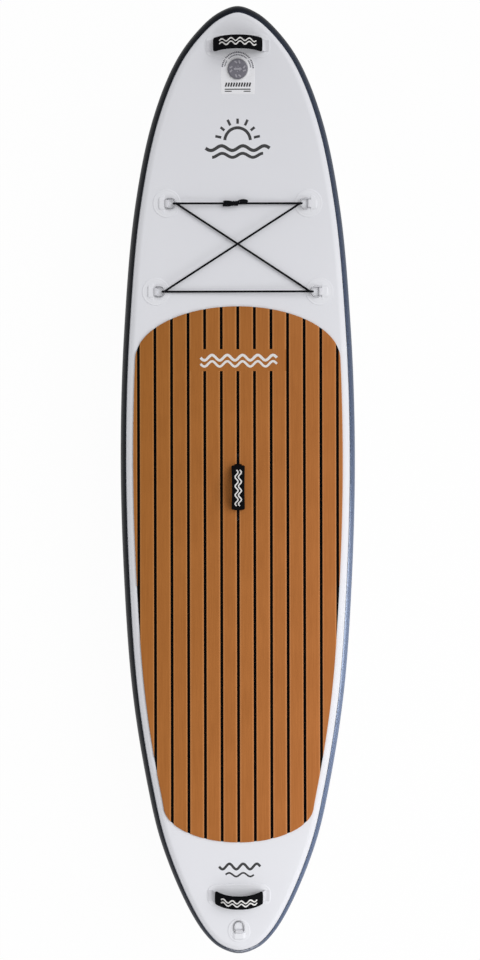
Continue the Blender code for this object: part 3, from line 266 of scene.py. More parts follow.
# %% [markdown]
# ## Foam
# The pad is closed-cell foam, cut in strips and brushed, so it is matt, with a fine grain along the board
# and tiny open cells. A strip's rounded edge is painted a little lighter, a painted highlight. Each strip's
# mesh carries an attribute called edge, and the colour is mixed by it.


# %% Foam
# The painted fall of light over the pad: its middle, and how fast it changes across and along the board.
PAINTED_LIGHT_MIDDLE, PAINTED_LIGHT_ACROSS, PAINTED_LIGHT_ALONG = 0.45, 0.9, 0.18


def foam(name, colour, dark, edge_highlight_colour, grain=1.0, sheen=0.12, port=(1, 1, 1), starboard=(1, 1, 1)):
    """Brushed foam: long streaks, speckled cells and a painted highlight on the rounded edge.

    port and starboard scale the colour at the port nose corner and at the starboard tail corner, with a slow
    change between them: painted shade at the port nose and painted light at the starboard tail.
    """
    paint = Paint(name, colour, 0.85, Specular_IOR_Level=sheen)
    place = paint.place()
    streaks = paint.noise(paint.stretched(place, (260.0, 9.0, 60.0)), 1.0, 3.0, 0.6)
    clouds = paint.noise(place, 7.0, 3.0)
    cells = paint.noise(place, 900.0, 1.0)
    share = (streaks * 0.6 + clouds * 0.4).above(0.5, 0.28)
    edge = paint.node("ShaderNodeAttribute", {"attribute_name": "edge"}, output=2)
    x, y, _ = paint.axes(place)
    sides = []
    for scale in (port, starboard):
        pale, deep, rim = (tuple(np.multiply(c, scale)) for c in (colour, dark, edge_highlight_colour))
        # rim is a painted highlight on the rounded edges, mixed in by the edge attribute.
        sides.append(paint.mix(edge, paint.mix(share, deep, pale), rim))
    # Painted light: the colour runs from painted shade at the port nose to painted light at the starboard
    # tail.
    paint.put("Base Color", paint.mix(PAINTED_LIGHT_MIDDLE + PAINTED_LIGHT_ACROSS * x - PAINTED_LIGHT_ALONG * y, *sides))
    paint.put("Roughness", 0.78 + 0.14 * cells)
    return paint.bump(0.5 * streaks + 0.5 * cells, 0.00025 * grain).material


# The third colour of each foam is a painted highlight on the strips' rounded edges.
BROWN_TONES = (0.455, 0.172, 0.043), (0.370, 0.134, 0.031), (0.560, 0.240, 0.080)
BLACK_TONES = (0.0016, 0.0015, 0.0015), (0.0012, 0.0011, 0.0011), (0.0025, 0.0023, 0.0023)
# The brown pad is painted darker at the port nose and lighter at the starboard tail, as painted shade and
# light.
BROWN_FOAM = foam("brown_foam", *BROWN_TONES, port=(0.82, 0.81, 0.65), starboard=(1.13, 1.06, 1.22))
BLACK_FOAM = foam("black_foam", *BLACK_TONES, 0.7, 0.03)
print("foams: 2")

# %% [markdown]
# ## Webbing, cord and padded cloth
# Woven pieces carry a UV map in metres, with U along the piece and V across it, so the weave follows
# every bend. Webbing has ribs across its length, a cord has a braid of crossing diagonals, and the grips
# are knitted cloth.


# %% Woven finishes
def webbing(name, colour, dark, rib=0.0016):
    """Flat woven tape: ribs along it, crossed by a finer weft."""
    paint = Paint(name, colour, 0.78, Specular_IOR_Level=0.3)
    u, v, _ = paint.axes(paint.place("UV"))
    ribs = (v * (2 * pi / rib)).sine()
    weft = (u * (2 * pi / (rib * 0.8)) + ribs * 1.4).sine()
    height = 0.5 + 0.25 * ribs + 0.25 * weft
    # Painted shade: the colour is darker where the weave lies low.
    paint.put("Base Color", paint.mix(height, dark, colour))
    return paint.bump(height, 0.00018).material


def braid(name, colour, strand_highlight, size=0.0022):
    """A cord's braided sleeve: two sets of diagonal strands that cross."""
    paint = Paint(name, colour, 0.72, Specular_IOR_Level=0.05)
    u, v, _ = paint.axes(paint.place("UV"))
    turn = 2 * pi / size
    left, right = ((u + v) * turn).sine(), ((u - v) * turn).sine()
    height = 0.5 + 0.5 * left.at_least(right)
    # Painted highlight: the strands are lighter where they stand highest.
    paint.put("Base Color", paint.mix(height.above(0.8, 0.25), colour, strand_highlight))
    return paint.bump(height, 0.00022).material


def knitted(name, colour, loop_highlight):
    """Neoprene faced with knitted cloth: fine stitches in rows."""
    paint = Paint(name, colour, 0.82, Specular_IOR_Level=0.04)
    u, v, _ = paint.axes(paint.place("UV"))
    rows = (v * (2 * pi / 0.0011)).sine()
    loops = (u * (2 * pi / 0.0009) + rows * 2.0).sine()
    height = 0.5 + 0.25 * rows + 0.25 * loops
    # Painted highlight: the colour is lighter where the loops stand high.
    paint.put("Base Color", paint.mix(height, colour, loop_highlight))
    return paint.bump(height, 0.00012).material


WHITE_WEBBING = webbing("white_webbing", (0.75, 0.75, 0.79), (0.66, 0.66, 0.70))
CORD_BRAID = braid("black_braid", (0.0025, 0.0025, 0.0035), (0.0075, 0.0075, 0.0095))
GRIP_CLOTH = knitted("black_knit", (0.0020, 0.0021, 0.0028), (0.0048, 0.0050, 0.0062))
print("woven finishes: 3")

# %% [markdown]
# ## Plastic, rubber and metal
# Moulded parts are even in colour, and their finish is in the sheen: spark-eroded grain on the valve,
# long flow lines on the fins, polishing marks on the wire rings.


# %% Hard finishes
def moulded(name, colour, roughness, grain=1400.0, depth=0.00003, **fixed):
    """Moulded plastic or rubber with a fine eroded grain and small changes of gloss."""
    paint = Paint(name, colour, roughness, **fixed)
    place = paint.place()
    paint.put("Roughness", roughness - 0.05 + 0.10 * paint.noise(place, 60.0, 3.0))
    return paint.bump(paint.noise(place, grain, 2.0), depth).material


def metal(name, colour, roughness, stretch):
    """Metal with fine scratches drawn out along one axis."""
    paint = Paint(name, colour, roughness, Metallic=1.0)
    place = paint.place()
    marks = paint.noise(paint.stretched(place, stretch), 1.0, 4.0, 0.65)
    paint.put("Roughness", roughness - 0.06 + 0.14 * marks)
    return paint.bump(marks, 0.00001).material


GREY_PLASTIC = moulded("grey_plastic", (0.150, 0.145, 0.175), 0.42)
# The cap's relief is painted paler than the cap: a painted highlight where it catches the light.
RELIEF_HIGHLIGHT_PLASTIC = moulded("grey_plastic_relief_painted_highlight", (0.36, 0.35, 0.39), 0.50)
WHITE_PLASTIC = moulded("white_plastic", (0.86, 0.86, 0.88), 0.40)
BLACK_PLASTIC = moulded("black_plastic", (0.014, 0.014, 0.016), 0.38, 900.0, 0.00004)
FIN_PLASTIC = moulded("fin_nylon", (0.017, 0.018, 0.021), 0.30, 500.0, 0.00003, Coat_Weight=0.25)
RUBBER = moulded("rubber", (0.020, 0.020, 0.021), 0.66, 700.0, 0.00005)
STEEL = metal("brushed_steel", (0.27, 0.27, 0.285), 0.24, (300.0, 300.0, 300.0))
BRASS = metal("brass", (0.62, 0.42, 0.16), 0.30, (500.0, 60.0, 500.0))
BLACK_INK = moulded("black_ink", (0.010, 0.010, 0.012), 0.40, 500.0, 0.00001)
GREY_INK = moulded("grey_ink", (0.11, 0.11, 0.14), 0.40, 500.0, 0.00001)
WHITE_INK = moulded("white_ink", (0.74, 0.73, 0.72), 0.60, 500.0, 0.00003)
THREAD = webbing("white_thread", (0.78, 0.77, 0.74), (0.66, 0.65, 0.62), 0.0008)
print("hard finishes: 11, and thread")

# %% [markdown]
# ## Surfaces from grids
# Nearly every piece is a grid of points worked out at once with numpy. Rows and columns that fall
# together are merged afterwards, which closes seams, poles and plate edges without special cases.


# %% Grid meshes
def surface(name, material, *grids, uvs=(), edges=(), keep=None, closed=True):
    """An object from grids of points (rows, columns, 3), joined where they meet.

    uvs and edges give each point its UV place and its edge attribute, and keep drops faces from every
    grid.
    """
    points, quads, uv_loops, edge_values = [], [], [], []
    start = 0
    for k, grid in enumerate(grids):
        rows, columns = grid.shape[:2]
        corner = np.arange(rows * columns).reshape(rows, columns)
        loops = [corner[:-1, :-1], corner[:-1, 1:], corner[1:, 1:], corner[1:, :-1]]
        faces = np.stack(loops, -1).reshape(-1, 4)
        if keep is not None:
            faces = faces[keep.ravel()]
        if len(uvs):
            uv_loops.append(uvs[k].reshape(-1, 2)[faces.ravel()])
        if len(edges):
            edge_values.append(edges[k].ravel())
        points.append(grid.reshape(-1, 3))
        quads.append(faces + start)
        start += rows * columns
    mesh = bpy.data.meshes.new(name)
    mesh.from_pydata(np.concatenate(points).tolist(), [], np.concatenate(quads).tolist())
    if len(uvs):
        layer = mesh.uv_layers.new(name="UVMap")
        layer.data.foreach_set("uv", np.concatenate(uv_loops).ravel())
    if len(edges):
        attribute = mesh.attributes.new("edge", "FLOAT", "POINT")
        attribute.data.foreach_set("value", np.concatenate(edge_values))
    work = bmesh.new()
    work.from_mesh(mesh)
    bmesh.ops.remove_doubles(work, verts=work.verts, dist=2e-6)
    bmesh.ops.dissolve_degenerate(work, edges=work.edges, dist=1e-6)
    loose = [v for v in work.verts if not v.link_faces]
    bmesh.ops.delete(work, geom=loose, context="VERTS")
    if closed:
        bmesh.ops.recalc_face_normals(work, faces=work.faces)
    work.to_mesh(mesh)
    work.free()
    mesh.materials.append(material)
    mesh.shade_smooth()
    mesh.set_sharp_from_angle(angle=radians(38))
    return added(name, mesh)


def settle(piece, body, slot, *nodes, foam_fill=None):
    """Attaches a piece to the body that it rides on, and hides the CAD nodes that it replaces.

    slot, the finish that it stands for, is not used.
    """
    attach(piece, body)
    if nodes:
        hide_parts(*nodes)
    return piece


def moved(points, matrix):
    """Points carried into a frame."""
    turn = np.array(matrix.to_3x3())
    return points @ turn.T + np.array(matrix.translation)


def between(low, high, count):
    """Even places between two ends, without the ends."""
    return np.linspace(low, high, count + 2)[1:-1]


def smooth(t):
    """A step from 0 to 1 that starts and ends level."""
    t = np.clip(t, 0, 1)
    return t * t * (3 - 2 * t)


def polar(radius, a):
    """Points at a radius and at angles."""
    return np.stack([radius * np.cos(a), radius * np.sin(a)], -1)


def run_along(points):
    """How far along a line of points each one lies."""
    return np.concatenate([[0], np.cumsum(np.linalg.norm(np.diff(points, axis=0), axis=1))])


# %% [markdown]
# ## The board's outline
# Sixteen points give the outline: how far along the board, and what share of the half width. A
# centripetal Catmull-Rom curve runs through all of them without overshooting, which suits a curve with
# round, blunt ends.

# %% Outline and rocker
BOARD_LENGTH = 3.200
BOARD_WIDTH = 0.812
BOARD_THICKNESS = 0.150
RAIL_BULGE = 0.047
SKIN_WALL = 0.0012
BAND_WALL = 0.0012
GAP = 0.0003
LAP_GAP = 0.0005
NOSE_ROCKER, NOSE_ROCKER_LENGTH = 0.170, 1.1
TAIL_ROCKER, TAIL_ROCKER_LENGTH = 0.045, 0.7
NOSE = BOARD_LENGTH / 2
TAIL = -BOARD_LENGTH / 2
ALONG = (0, 0.0062, 0.0205, 0.0518, 0.1119, 0.2053, 0.3339, 0.4637)
ALONG += (0.5935, 0.7234, 0.8206, 0.8845, 0.9473, 0.9791, 0.9935, 1)
WIDE = (0, 0.156, 0.305, 0.506, 0.712, 0.873, 0.968, 1, 0.976, 0.904, 0.784, 0.664, 0.458, 0.300, 0.172, 0)


def curve_through(points, per_span):
    """A centripetal Catmull-Rom curve: each span blends lines through its four nearest points."""
    points = np.asarray(points, float)
    step = np.sqrt(np.linalg.norm(np.diff(points, axis=0), axis=1))
    t1 = step[:-2, None]
    t2 = t1 + step[1:-1, None]
    t3 = t2 + step[2:, None]
    t = (t1 + (t2 - t1) * np.linspace(0, 1, per_span, endpoint=False))[..., None]
    t1, t2, t3 = (v[..., None] for v in (t1, t2, t3))
    p0, p1, p2, p3 = (points[k : len(points) - 3 + k, None, :] for k in range(4))
    a1 = ((t1 - t) * p0 + t * p1) / t1
    a2 = ((t2 - t) * p1 + (t - t1) * p2) / (t2 - t1)
    a3 = ((t3 - t) * p2 + (t - t2) * p3) / (t3 - t2)
    b1 = ((t2 - t) * a1 + t * a2) / t2
    b2 = ((t3 - t) * a2 + (t - t1) * a3) / (t3 - t1)
    inner = ((t2 - t) * b1 + (t - t1) * b2) / (t2 - t1)
    return np.concatenate([inner.reshape(-1, points.shape[1]), points[-2:-1]])


def rocker(y):
    """The hull's lift: a parabola towards the nose, a smaller one towards the tail, and flat between."""
    ahead = np.clip((y - (NOSE - NOSE_ROCKER_LENGTH)) / NOSE_ROCKER_LENGTH, 0, None)
    behind = np.clip((TAIL + TAIL_ROCKER_LENGTH - y) / TAIL_ROCKER_LENGTH, 0, None)
    return NOSE_ROCKER * ahead**2 + TAIL_ROCKER * behind**2


def deck(y):
    """Height of the deck."""
    return BOARD_THICKNESS + rocker(y)


half = np.stack([np.array(WIDE) * BOARD_WIDTH / 2, NOSE - np.array(ALONG) * BOARD_LENGTH], 1)
mirrored = half[[1, -2]] * (-1, 1)
OUTLINE = curve_through([mirrored[0], *half, mirrored[1]], 40)
print("outline points:", len(OUTLINE), "widest", round(2 * OUTLINE[:, 0].max(), 3))


# %% [markdown]
# ## Hull skins and rail band
# Under pressure the side strip swells to nearly half an ellipse. The section at each station along the
# outline is that ellipse, carried along the outline's outward direction. The deck and bottom skins are
# its top and foot, joined across by the flat panels, and the dark band is its middle, glued over the
# edges of both. It is wrapped further over the nose and the tail, where it takes the knocks. A low seam
# runs beside it on the deck.

# %% Rail stations
STATIONS = 190
BAND_ANGLE = 59.0
NOSE_ANGLE_MORE = 16.0
TAIL_ANGLE_MORE = 7.0


def rail_stations():
    """The rail's middle line and outward directions, with stations crowded towards the two tips."""
    run = run_along(OUTLINE)
    slope = np.gradient(OUTLINE, run, axis=0)
    u = np.linspace(0, 1, STATIONS + 1)
    wanted = run[-1] * (0.25 * u + 0.75 * (1 - np.cos(pi * u)) / 2)
    x, y = (np.interp(wanted, run, OUTLINE[:, k]) for k in (0, 1))
    tx, ty = (np.interp(wanted, run, slope[:, k]) for k in (0, 1))
    out = np.stack([-ty, tx], 1) / np.hypot(tx, ty)[:, None]
    out[0], out[-1] = (0, 1), (0, -1)
    middle = np.stack([x, y], 1) - RAIL_BULGE * out
    middle[:, 0] = np.clip(middle[:, 0], 0, None)
    return middle, out


RAIL_MIDDLE, RAIL_OUT = rail_stations()
SKIN_BULGE = RAIL_BULGE - BAND_WALL - LAP_GAP
AHEAD = RAIL_OUT[:, 1]
BAND_EDGE = BAND_ANGLE + NOSE_ANGLE_MORE * np.clip(AHEAD, 0, 1) ** 1.5
BAND_EDGE += TAIL_ANGLE_MORE * np.clip(-AHEAD, 0, 1) ** 2


def rail_section(angles, lift):
    """Half an ellipse at each station, between angles from the side's middle, lifted off the skins.

    angles holds a row for each station, because the band reaches further up the rail at the nose and the
    tail.
    """
    a = np.radians(angles)
    lifts = np.broadcast_to(lift, a.shape)
    reach = (SKIN_BULGE + lifts) * np.where(np.abs(angles) > 89.99, 0, np.cos(a))
    xy = RAIL_MIDDLE[:, None, :] + RAIL_OUT[:, None, :] * reach[..., None]
    z = BOARD_THICKNESS / 2 + (BOARD_THICKNESS / 2 + lifts) * np.sin(a) + rocker(xy[..., 1])
    return np.concatenate([xy, z[..., None]], -1)


def panel(edge, steps):
    """The flat panel between the two rails, from port to starboard, left out at both edges."""
    flat = np.repeat(edge[:, None, :], steps, axis=1)
    flat[..., 0] = edge[:, None, 0] * between(-1, 1, steps)
    return flat


def skin(name, grid, node):
    """A skin of the hull: a sheet that grows its wall inwards."""
    made = surface(name, WHITE_PVC, grid, closed=False)
    thick = made.modifiers.new("wall", "SOLIDIFY")
    thick.thickness = SKIN_WALL
    thick.offset = -1.0
    thick.use_even_offset = True
    return settle(made, "hull", "white_pvc", node)


# %% Deck, bottom and band
FLIP = np.array([-1.0, 1.0, 1.0])
SEAM = np.array([0.0, 0.5, 1.3, 4.0, 7.2, 8.0, 8.6])
SEAM_RISE = np.array([0.0, 0.0, 0.00035, 0.00035, 0.00035, 0.00020, 0.0])
edge = BAND_EDGE[:, None]
rest = edge + SEAM[-1] + (90 - edge - SEAM[-1]) * np.linspace(0, 1, 8)[1:]
shoulder = np.concatenate([edge - 8, edge - 4, edge + SEAM, rest], 1)
seam_lift = np.concatenate([[0, 0], SEAM_RISE, np.zeros(7)])[None, ::-1]
starboard = rail_section(shoulder[:, ::-1], seam_lift)
deck_grid = np.concatenate([starboard[:, ::-1] * FLIP, panel(starboard[:, 0], 11), starboard], 1)[::-1]
deck_skin = skin("deck", deck_grid, "deck_skin")

keel = rail_section(-shoulder[:, ::-1], 0.0)
bottom_grid = np.concatenate([keel[:, ::-1] * FLIP, panel(keel[:, 0], 11), keel], 1)
bottom_skin = skin("bottom", bottom_grid, "bottom_skin")

outer = edge * np.linspace(1, -1, 27)
angles = np.concatenate([edge, edge, edge - 0.7, outer[:, 1:-1], 0.7 - edge, -edge, -edge], 1)
lifts = np.full(angles.shape[1], LAP_GAP + BAND_WALL)
lifts[[0, -1]] = LAP_GAP
lifts[[1, -2]] = LAP_GAP + 0.7 * BAND_WALL
inside = rail_section(outer[:, ::-1], LAP_GAP)
band = np.concatenate([rail_section(angles, lifts), inside], 1)
rail_band = surface("rail_band", RAIL_PVC, band, band[:, ::-1] * FLIP)
settle(rail_band, "hull", "dark_pvc", "rail_band")
print("hull faces:", sum(len(o.data.polygons) for o in (deck_skin, bottom_skin, rail_band)))

# %% [markdown]
# ## The deck pad
# The pad follows the outline at an even margin, with half an ellipse at each end. Each foam strip is a
# plate: a grid whose outer rows and columns fall to the glue line, so that its top edge is rounded and
# its sides are closed.

# %% Pad outline
PAD_TOP = NOSE - 0.991
PAD_FOOT = TAIL + 0.3855
PAD_MARGIN = 0.049
PAD_NOSE_ARC = 0.180
PAD_TAIL_ARC = 0.122
PAD_BASE_WALL = 0.0025
PLANK_WALL = 0.0030
PITCH = 0.0565
GROOVE = 0.0098
BRIDGE_FROM_TOP = 0.146
BRIDGE_LENGTH = 0.0745


def pad_width(y):
    """Half the pad's width: a margin inside the outline, closed by half an ellipse at each end."""
    low, high = PAD_FOOT + PAD_TAIL_ARC, PAD_TOP - PAD_NOSE_ARC
    inner = np.clip(y, low, high)
    side = np.interp(-inner, -OUTLINE[:, 1], OUTLINE[:, 0]) - PAD_MARGIN
    ahead = np.clip((y - high) / PAD_NOSE_ARC, 0, 1)
    behind = np.clip((low - y) / PAD_TAIL_ARC, 0, 1)
    return side * np.sqrt(np.clip(1 - np.maximum(ahead, behind) ** 2, 0, 1))


PAD_Y = PAD_FOOT + (PAD_TOP - PAD_FOOT) * (1 - np.cos(np.linspace(0, pi, 4001))) / 2
PAD_HALF = pad_width(PAD_Y)
WIDEST = int(PAD_HALF.argmax())


def pad_ends(x):
    """Where the pad starts and ends at a distance from the centre line."""
    low = np.interp(np.abs(x), PAD_HALF[: WIDEST + 1], PAD_Y[: WIDEST + 1])
    high = np.interp(-np.abs(x), -PAD_HALF[WIDEST:], PAD_Y[WIDEST:])
    return low, high


print("pad", round(2 * PAD_HALF.max(), 3), "by", round(PAD_TOP - PAD_FOOT, 3))

# %% [markdown]
# A plate's edge is four steps: its foot, the top of the wall, part of the way round the edge, and the
# flat top. At a groove the same steps run the other way, and faces that would lie on the floor of a
# groove are left out.

# %% Plates
EDGE_IN = np.array([0.0, 0.0, 0.3, 1.0])
EDGE_UP = np.array([0.0, -1.0, -0.3, 0.0])


def edge_steps(first, last, wall, edge, inner):
    """Places from one edge to the other and the height at each, rounded at both edges."""
    places = np.concatenate([first + edge * EDGE_IN, inner, (last - edge * EDGE_IN)[::-1]])
    rise = wall + edge * EDGE_UP
    rise[0] = 0.0
    return places, np.concatenate([rise, np.full(len(inner), wall), rise[::-1]])


def edge_reach(across, ends, edge):
    """How far a rounded edge reaches in along a column that meets the outline at a slant."""
    places, first = np.unique(across, return_index=True)
    slope = np.interp(across, places, np.gradient(ends[first], places))
    return edge * np.clip(np.sqrt(1 + slope**2), 1, 5)[:, None]


def plate(name, material, columns, ends, rows, base, wall, edge, held=None, hole=None, side=1, swap=False):
    """A plate laid on the deck, from columns across it and rows along it.

    columns are (place, height) arrays, and ends the low and high end of each column. rows are (place,
    least height) arrays: the places are shares of the column, but with held = (low, near, far, high)
    those from near to far are real, and the others are stretched to the column's ends. hole is a mask of
    columns and one of rows, and where both hold there is no foam. swap runs the columns along the board.
    """
    across, rise = columns
    low, high = ends
    steps_low = low[:, None] + edge_reach(across, low, edge) * EDGE_IN
    steps_high = high[:, None] - edge_reach(across, high, edge) * EDGE_IN[::-1]
    start, end = steps_low[:, -1:], steps_high[:, :1]
    places, least = rows
    if held is None:
        middle = start + (end - start) * places
    else:
        first, near, far, last = held
        low_share = (places - first) / (near - first)
        high_share = (places - far) / (last - far)
        middle = np.where(places < near, start + (near - start) * low_share, places + 0 * start)
        middle = np.where(places > far, far + (end - far) * high_share, middle)
        middle = np.clip(middle, start, end)
    along = np.concatenate([steps_low, middle, steps_high], 1)
    end_rise = wall + edge * EDGE_UP
    end_rise[0] = 0.0
    cap = np.concatenate([end_rise, np.full(len(places), wall), end_rise[::-1]])
    floor_rise = np.concatenate([np.zeros(4), least, np.zeros(4)])
    height = np.minimum(np.maximum(rise[:, None], floor_rise), cap)
    if hole is not None:
        in_rows = np.concatenate([np.zeros(4, bool), hole[1], np.zeros(4, bool)])
        height = np.where(hole[0][:, None] & in_rows, 0.0, height)
    cross = np.repeat(across[:, None], along.shape[1], 1)
    x, y = (along, cross) if swap else (cross, along)
    floor = deck(y) + base
    top = np.stack([side * x, y, floor + height], -1)
    foot = np.stack([side * x, y, floor], -1)
    bare = height < 1e-7
    bare = bare[:-1, :-1] & bare[1:, :-1] & bare[:-1, 1:] & bare[1:, 1:]
    rim = (height > 0) & (height < wall - 1e-7)
    grown = rim.T.copy() if swap else rim.copy()
    grown[1:] |= grown[:-1].copy()
    grown[:-1] |= grown[1:].copy()
    rim = np.where((grown.T if swap else grown) & (height > 0), 1.0, 0.0)
    return surface(name, material, top, foot, edges=(rim, rim * 0), keep=~bare)


# %% Strips beside the middle
PLANK_EDGE = 0.0009
SLIVER_EDGE = 0.0004
PLANK_BASE = 2 * GAP + PAD_BASE_WALL
PLANK = (PLANK_BASE, PLANK_WALL, PLANK_EDGE)
PLAIN_ROWS = (between(0, 1, 60), np.zeros(60))
SIDES = (("left", -1), ("right", 1))


def plank_columns(first, last, count):
    """Columns across a strip, rounded at both of its edges."""
    inner = between(first + PLANK_EDGE, last - PLANK_EDGE, count)
    return edge_steps(first, last, PLANK_WALL, PLANK_EDGE, inner)


for side_name, side in SIDES:
    for number in (1, 2, 3):
        first = (number + 2) * PITCH + GROOVE / 2
        columns = plank_columns(first, (number + 3) * PITCH - GROOVE / 2, 9)
        name = f"pad_strip_{side_name}_{number}"
        strip = plate(name, BROWN_FOAM, columns, pad_ends(columns[0]), PLAIN_ROWS, *PLANK, side=side)
        settle(strip, "hull", "brown_foam", f"deck_plank_{side_name}_{number}", foam_fill=1.0)

# %% [markdown]
# The outermost strips are slivers between the last groove and the pad's curved side, so their columns run
# along the board instead, from the groove to the outline.

# %% Slivers at the sides
SLIVER_IN = 6 * PITCH + GROOVE / 2
reach = PAD_Y[PAD_HALF > SLIVER_IN + 0.0012]
columns = plank_columns(reach[0], reach[-1], 70)
ends = (np.full(len(columns[0]), SLIVER_IN), np.maximum(pad_width(columns[0]), SLIVER_IN))
rows = (np.array([0.33, 0.67]), np.zeros(2))
sliver_layer = (PLANK_BASE, PLANK_WALL, SLIVER_EDGE)
for side_name, side in SIDES:
    name = f"pad_strip_{side_name}_4"
    sliver = plate(name, BROWN_FOAM, columns, ends, rows, *sliver_layer, side=side, swap=True)
    settle(sliver, "hull", "brown_foam", f"deck_plank_{side_name}_4", foam_fill=1.0)
print("strips beside the middle: 8")

# %% [markdown]
# The six middle strips are one sheet, because a bridge joins them across their five grooves near the
# front. Two slots let the centre handle's strap through.

# %% Middle strips
BRIDGE = (PAD_TOP - BRIDGE_FROM_TOP - BRIDGE_LENGTH, PAD_TOP - BRIDGE_FROM_TOP)
HANDLE_Y = -0.007
SLOT_NEAR, SLOT_FAR = 0.0730, 0.0788
BACK_SLOT = (HANDLE_Y - SLOT_FAR, HANDLE_Y - SLOT_NEAR)
FRONT_SLOT = (HANDLE_Y + SLOT_NEAR, HANDLE_Y + SLOT_FAR)
SLOT_HALF = 0.0125
slot_edges = {0: [SLOT_HALF] * 2, -1: [-SLOT_HALF] * 2}
across, rise, in_slot = [], [], []
for k in range(-3, 3):
    first, last = k * PITCH + GROOVE / 2, (k + 1) * PITCH - GROOVE / 2
    inner = between(first + PLANK_EDGE, last - PLANK_EDGE, 7)
    inner = np.sort(np.concatenate([inner, slot_edges.get(k, [])]))
    places, heights = edge_steps(first, last, PLANK_WALL, PLANK_EDGE, inner)
    inside = np.abs(places) < SLOT_HALF - 1e-9
    twins = np.flatnonzero(np.abs(np.abs(places) - SLOT_HALF) < 1e-9)
    inside[twins[:1] if k == 0 else twins[1:]] = True
    across.append(places)
    rise.append(heights)
    in_slot.append(inside)
columns = (np.concatenate(across), np.concatenate(rise))
row_sets = [
    (between(PAD_FOOT, BACK_SLOT[0], 40), 0.0), (np.repeat(BACK_SLOT, 2), 0.0),
    (between(BACK_SLOT[1], FRONT_SLOT[0], 6), 0.0), (np.repeat(FRONT_SLOT, 2), 0.0),
    (between(FRONT_SLOT[1], BRIDGE[0], 10), 0.0),
    edge_steps(*BRIDGE, PLANK_WALL, PLANK_EDGE, between(*BRIDGE, 6)),
    (between(BRIDGE[1], PAD_TOP, 10), 0.0),
]
rows = tuple(np.concatenate([row[part] + 0.0 * row[0] for row in row_sets]) for part in (0, 1))
slot_rows = np.zeros(len(rows[0]), bool)
for edge_of_slot in (BACK_SLOT[0], FRONT_SLOT[0]):
    start = np.flatnonzero(rows[0] == edge_of_slot)[0]
    slot_rows[start + 1 : start + 3] = True
middle_pad = plate(
    "pad_middle", BROWN_FOAM, columns, pad_ends(columns[0]), rows, *PLANK,
    held=(PAD_FOOT, BACK_SLOT[0], BRIDGE[1], PAD_TOP), hole=(np.concatenate(in_slot), slot_rows),
)
settle(middle_pad, "hull", "brown_foam", "deck_plank_centre", foam_fill=1.0)
print("middle strips:", len(middle_pad.data.polygons), "faces")

# %% [markdown]
# Under the strips lies one black sheet, which shows as the floor of every groove. It is open round the
# centre handle's patch, which is glued to the deck itself.

# %% Black base
WINDOW_X = 0.0253
WINDOW_HALF = 0.1143
WINDOW_Y = (HANDLE_Y - WINDOW_HALF, HANDLE_Y + WINDOW_HALF)
BASE_EDGE = 0.0006
foot_part = PAD_FOOT + (WINDOW_Y[0] - PAD_FOOT) * (1 - np.cos(np.linspace(0, pi / 2, 44)))[1:]
nose_part = PAD_TOP - (PAD_TOP - WINDOW_Y[1]) * (1 - np.cos(np.linspace(0, pi / 2, 32)))[:0:-1]
inside_window = np.array([WINDOW_Y[0], HANDLE_Y, WINDOW_Y[1]])
inner = np.concatenate([foot_part, inside_window, nose_part])
columns = edge_steps(PAD_FOOT, PAD_TOP, PAD_BASE_WALL, BASE_EDGE, inner)
in_window = np.zeros(len(columns[0]), bool)
in_window[4 + len(foot_part) : 7 + len(foot_part)] = True
half = pad_width(columns[0])
places = np.array([0.9, 0.7, 0.5, 0.3, 0.12])
places = np.concatenate([-places, [-WINDOW_X, -WINDOW_X, 0, WINDOW_X, WINDOW_X], places[::-1]])
row_mask = np.zeros(15, bool)
row_mask[6:9] = True
base = plate(
    "pad_base", BLACK_FOAM, columns, (-half, half), (places, np.zeros(15)), GAP, PAD_BASE_WALL, BASE_EDGE,
    held=(-1.0, -WINDOW_X, WINDOW_X, 1.0), hole=(in_window, row_mask), swap=True,
)
settle(base, "hull", "black_foam", "deck_pad_base", foam_fill=1.0)
print("pad base:", len(base.data.polygons), "faces")

# %% [markdown]
# ## Glued patches
# Every fitting is welded to the skin through a patch of the same fabric. Its outline is offset inwards
# ring by ring along the normals, so that the rounded rim and the faint weld line keep their width all
# round.


# %% Patches
def patch_outline(half_x, half_y, corner, centre=(0.0, 0.0), arc=9, straight=0.02):
    """A rectangle with round corners, anticlockwise, and the outward direction at each point."""
    points, normals = [], []
    for k, (sx, sy) in enumerate(((1, -1), (1, 1), (-1, 1), (-1, -1))):
        a = np.linspace(k - 1, k, arc) * pi / 2
        turn = polar(1.0, a)
        points.append(np.array([sx * (half_x - corner), sy * (half_y - corner)]) + corner * turn)
        normals.append(turn)
        length = 2 * ((half_y, half_x)[k % 2] - corner)
        steps = max(1, int(length / straight))
        if steps > 1:
            share = np.linspace(0, 1, steps + 1)[1:-1, None]
            way = np.array([-turn[-1, 1], turn[-1, 0]])
            points.append(points[-1][-1] + way * length * share)
            normals.append(np.repeat(turn[-1:], steps - 1, 0))
    points, normals = np.concatenate(points), np.concatenate(normals)
    points, normals = (np.concatenate([v, v[:1]]) for v in (points, normals))
    return points + np.array(centre), normals


def patch(name, material, outline, ground, side=1.0):
    """A thin sheet glued to the ground: rings at each (inset, rise) of the rim, then rings to the centre."""
    points, normals = outline
    centre = (points.max(0) + points.min(0)) / 2
    insets, rises = np.array(PATCH_RIM).T
    rings = points[None] - normals[None] * insets[:, None, None]
    shrink = np.array([0.72, 0.45, 0.2, 0.0])[:, None, None]
    top = np.concatenate([rings, centre + (rings[-1] - centre) * shrink])
    rise = np.concatenate([rises, np.full(4, rises[-1])])
    bottom = np.concatenate([rings[:1], centre + (rings[0] - centre) * shrink])
    sheets = []
    for rings_xy, lift in ((top, rise), (bottom, np.zeros(5))):
        z = ground(rings_xy[..., 1]) + side * (GAP + lift[:, None])
        sheets.append(np.concatenate([rings_xy, z[..., None]], -1))
    return surface(name, material, *sheets)


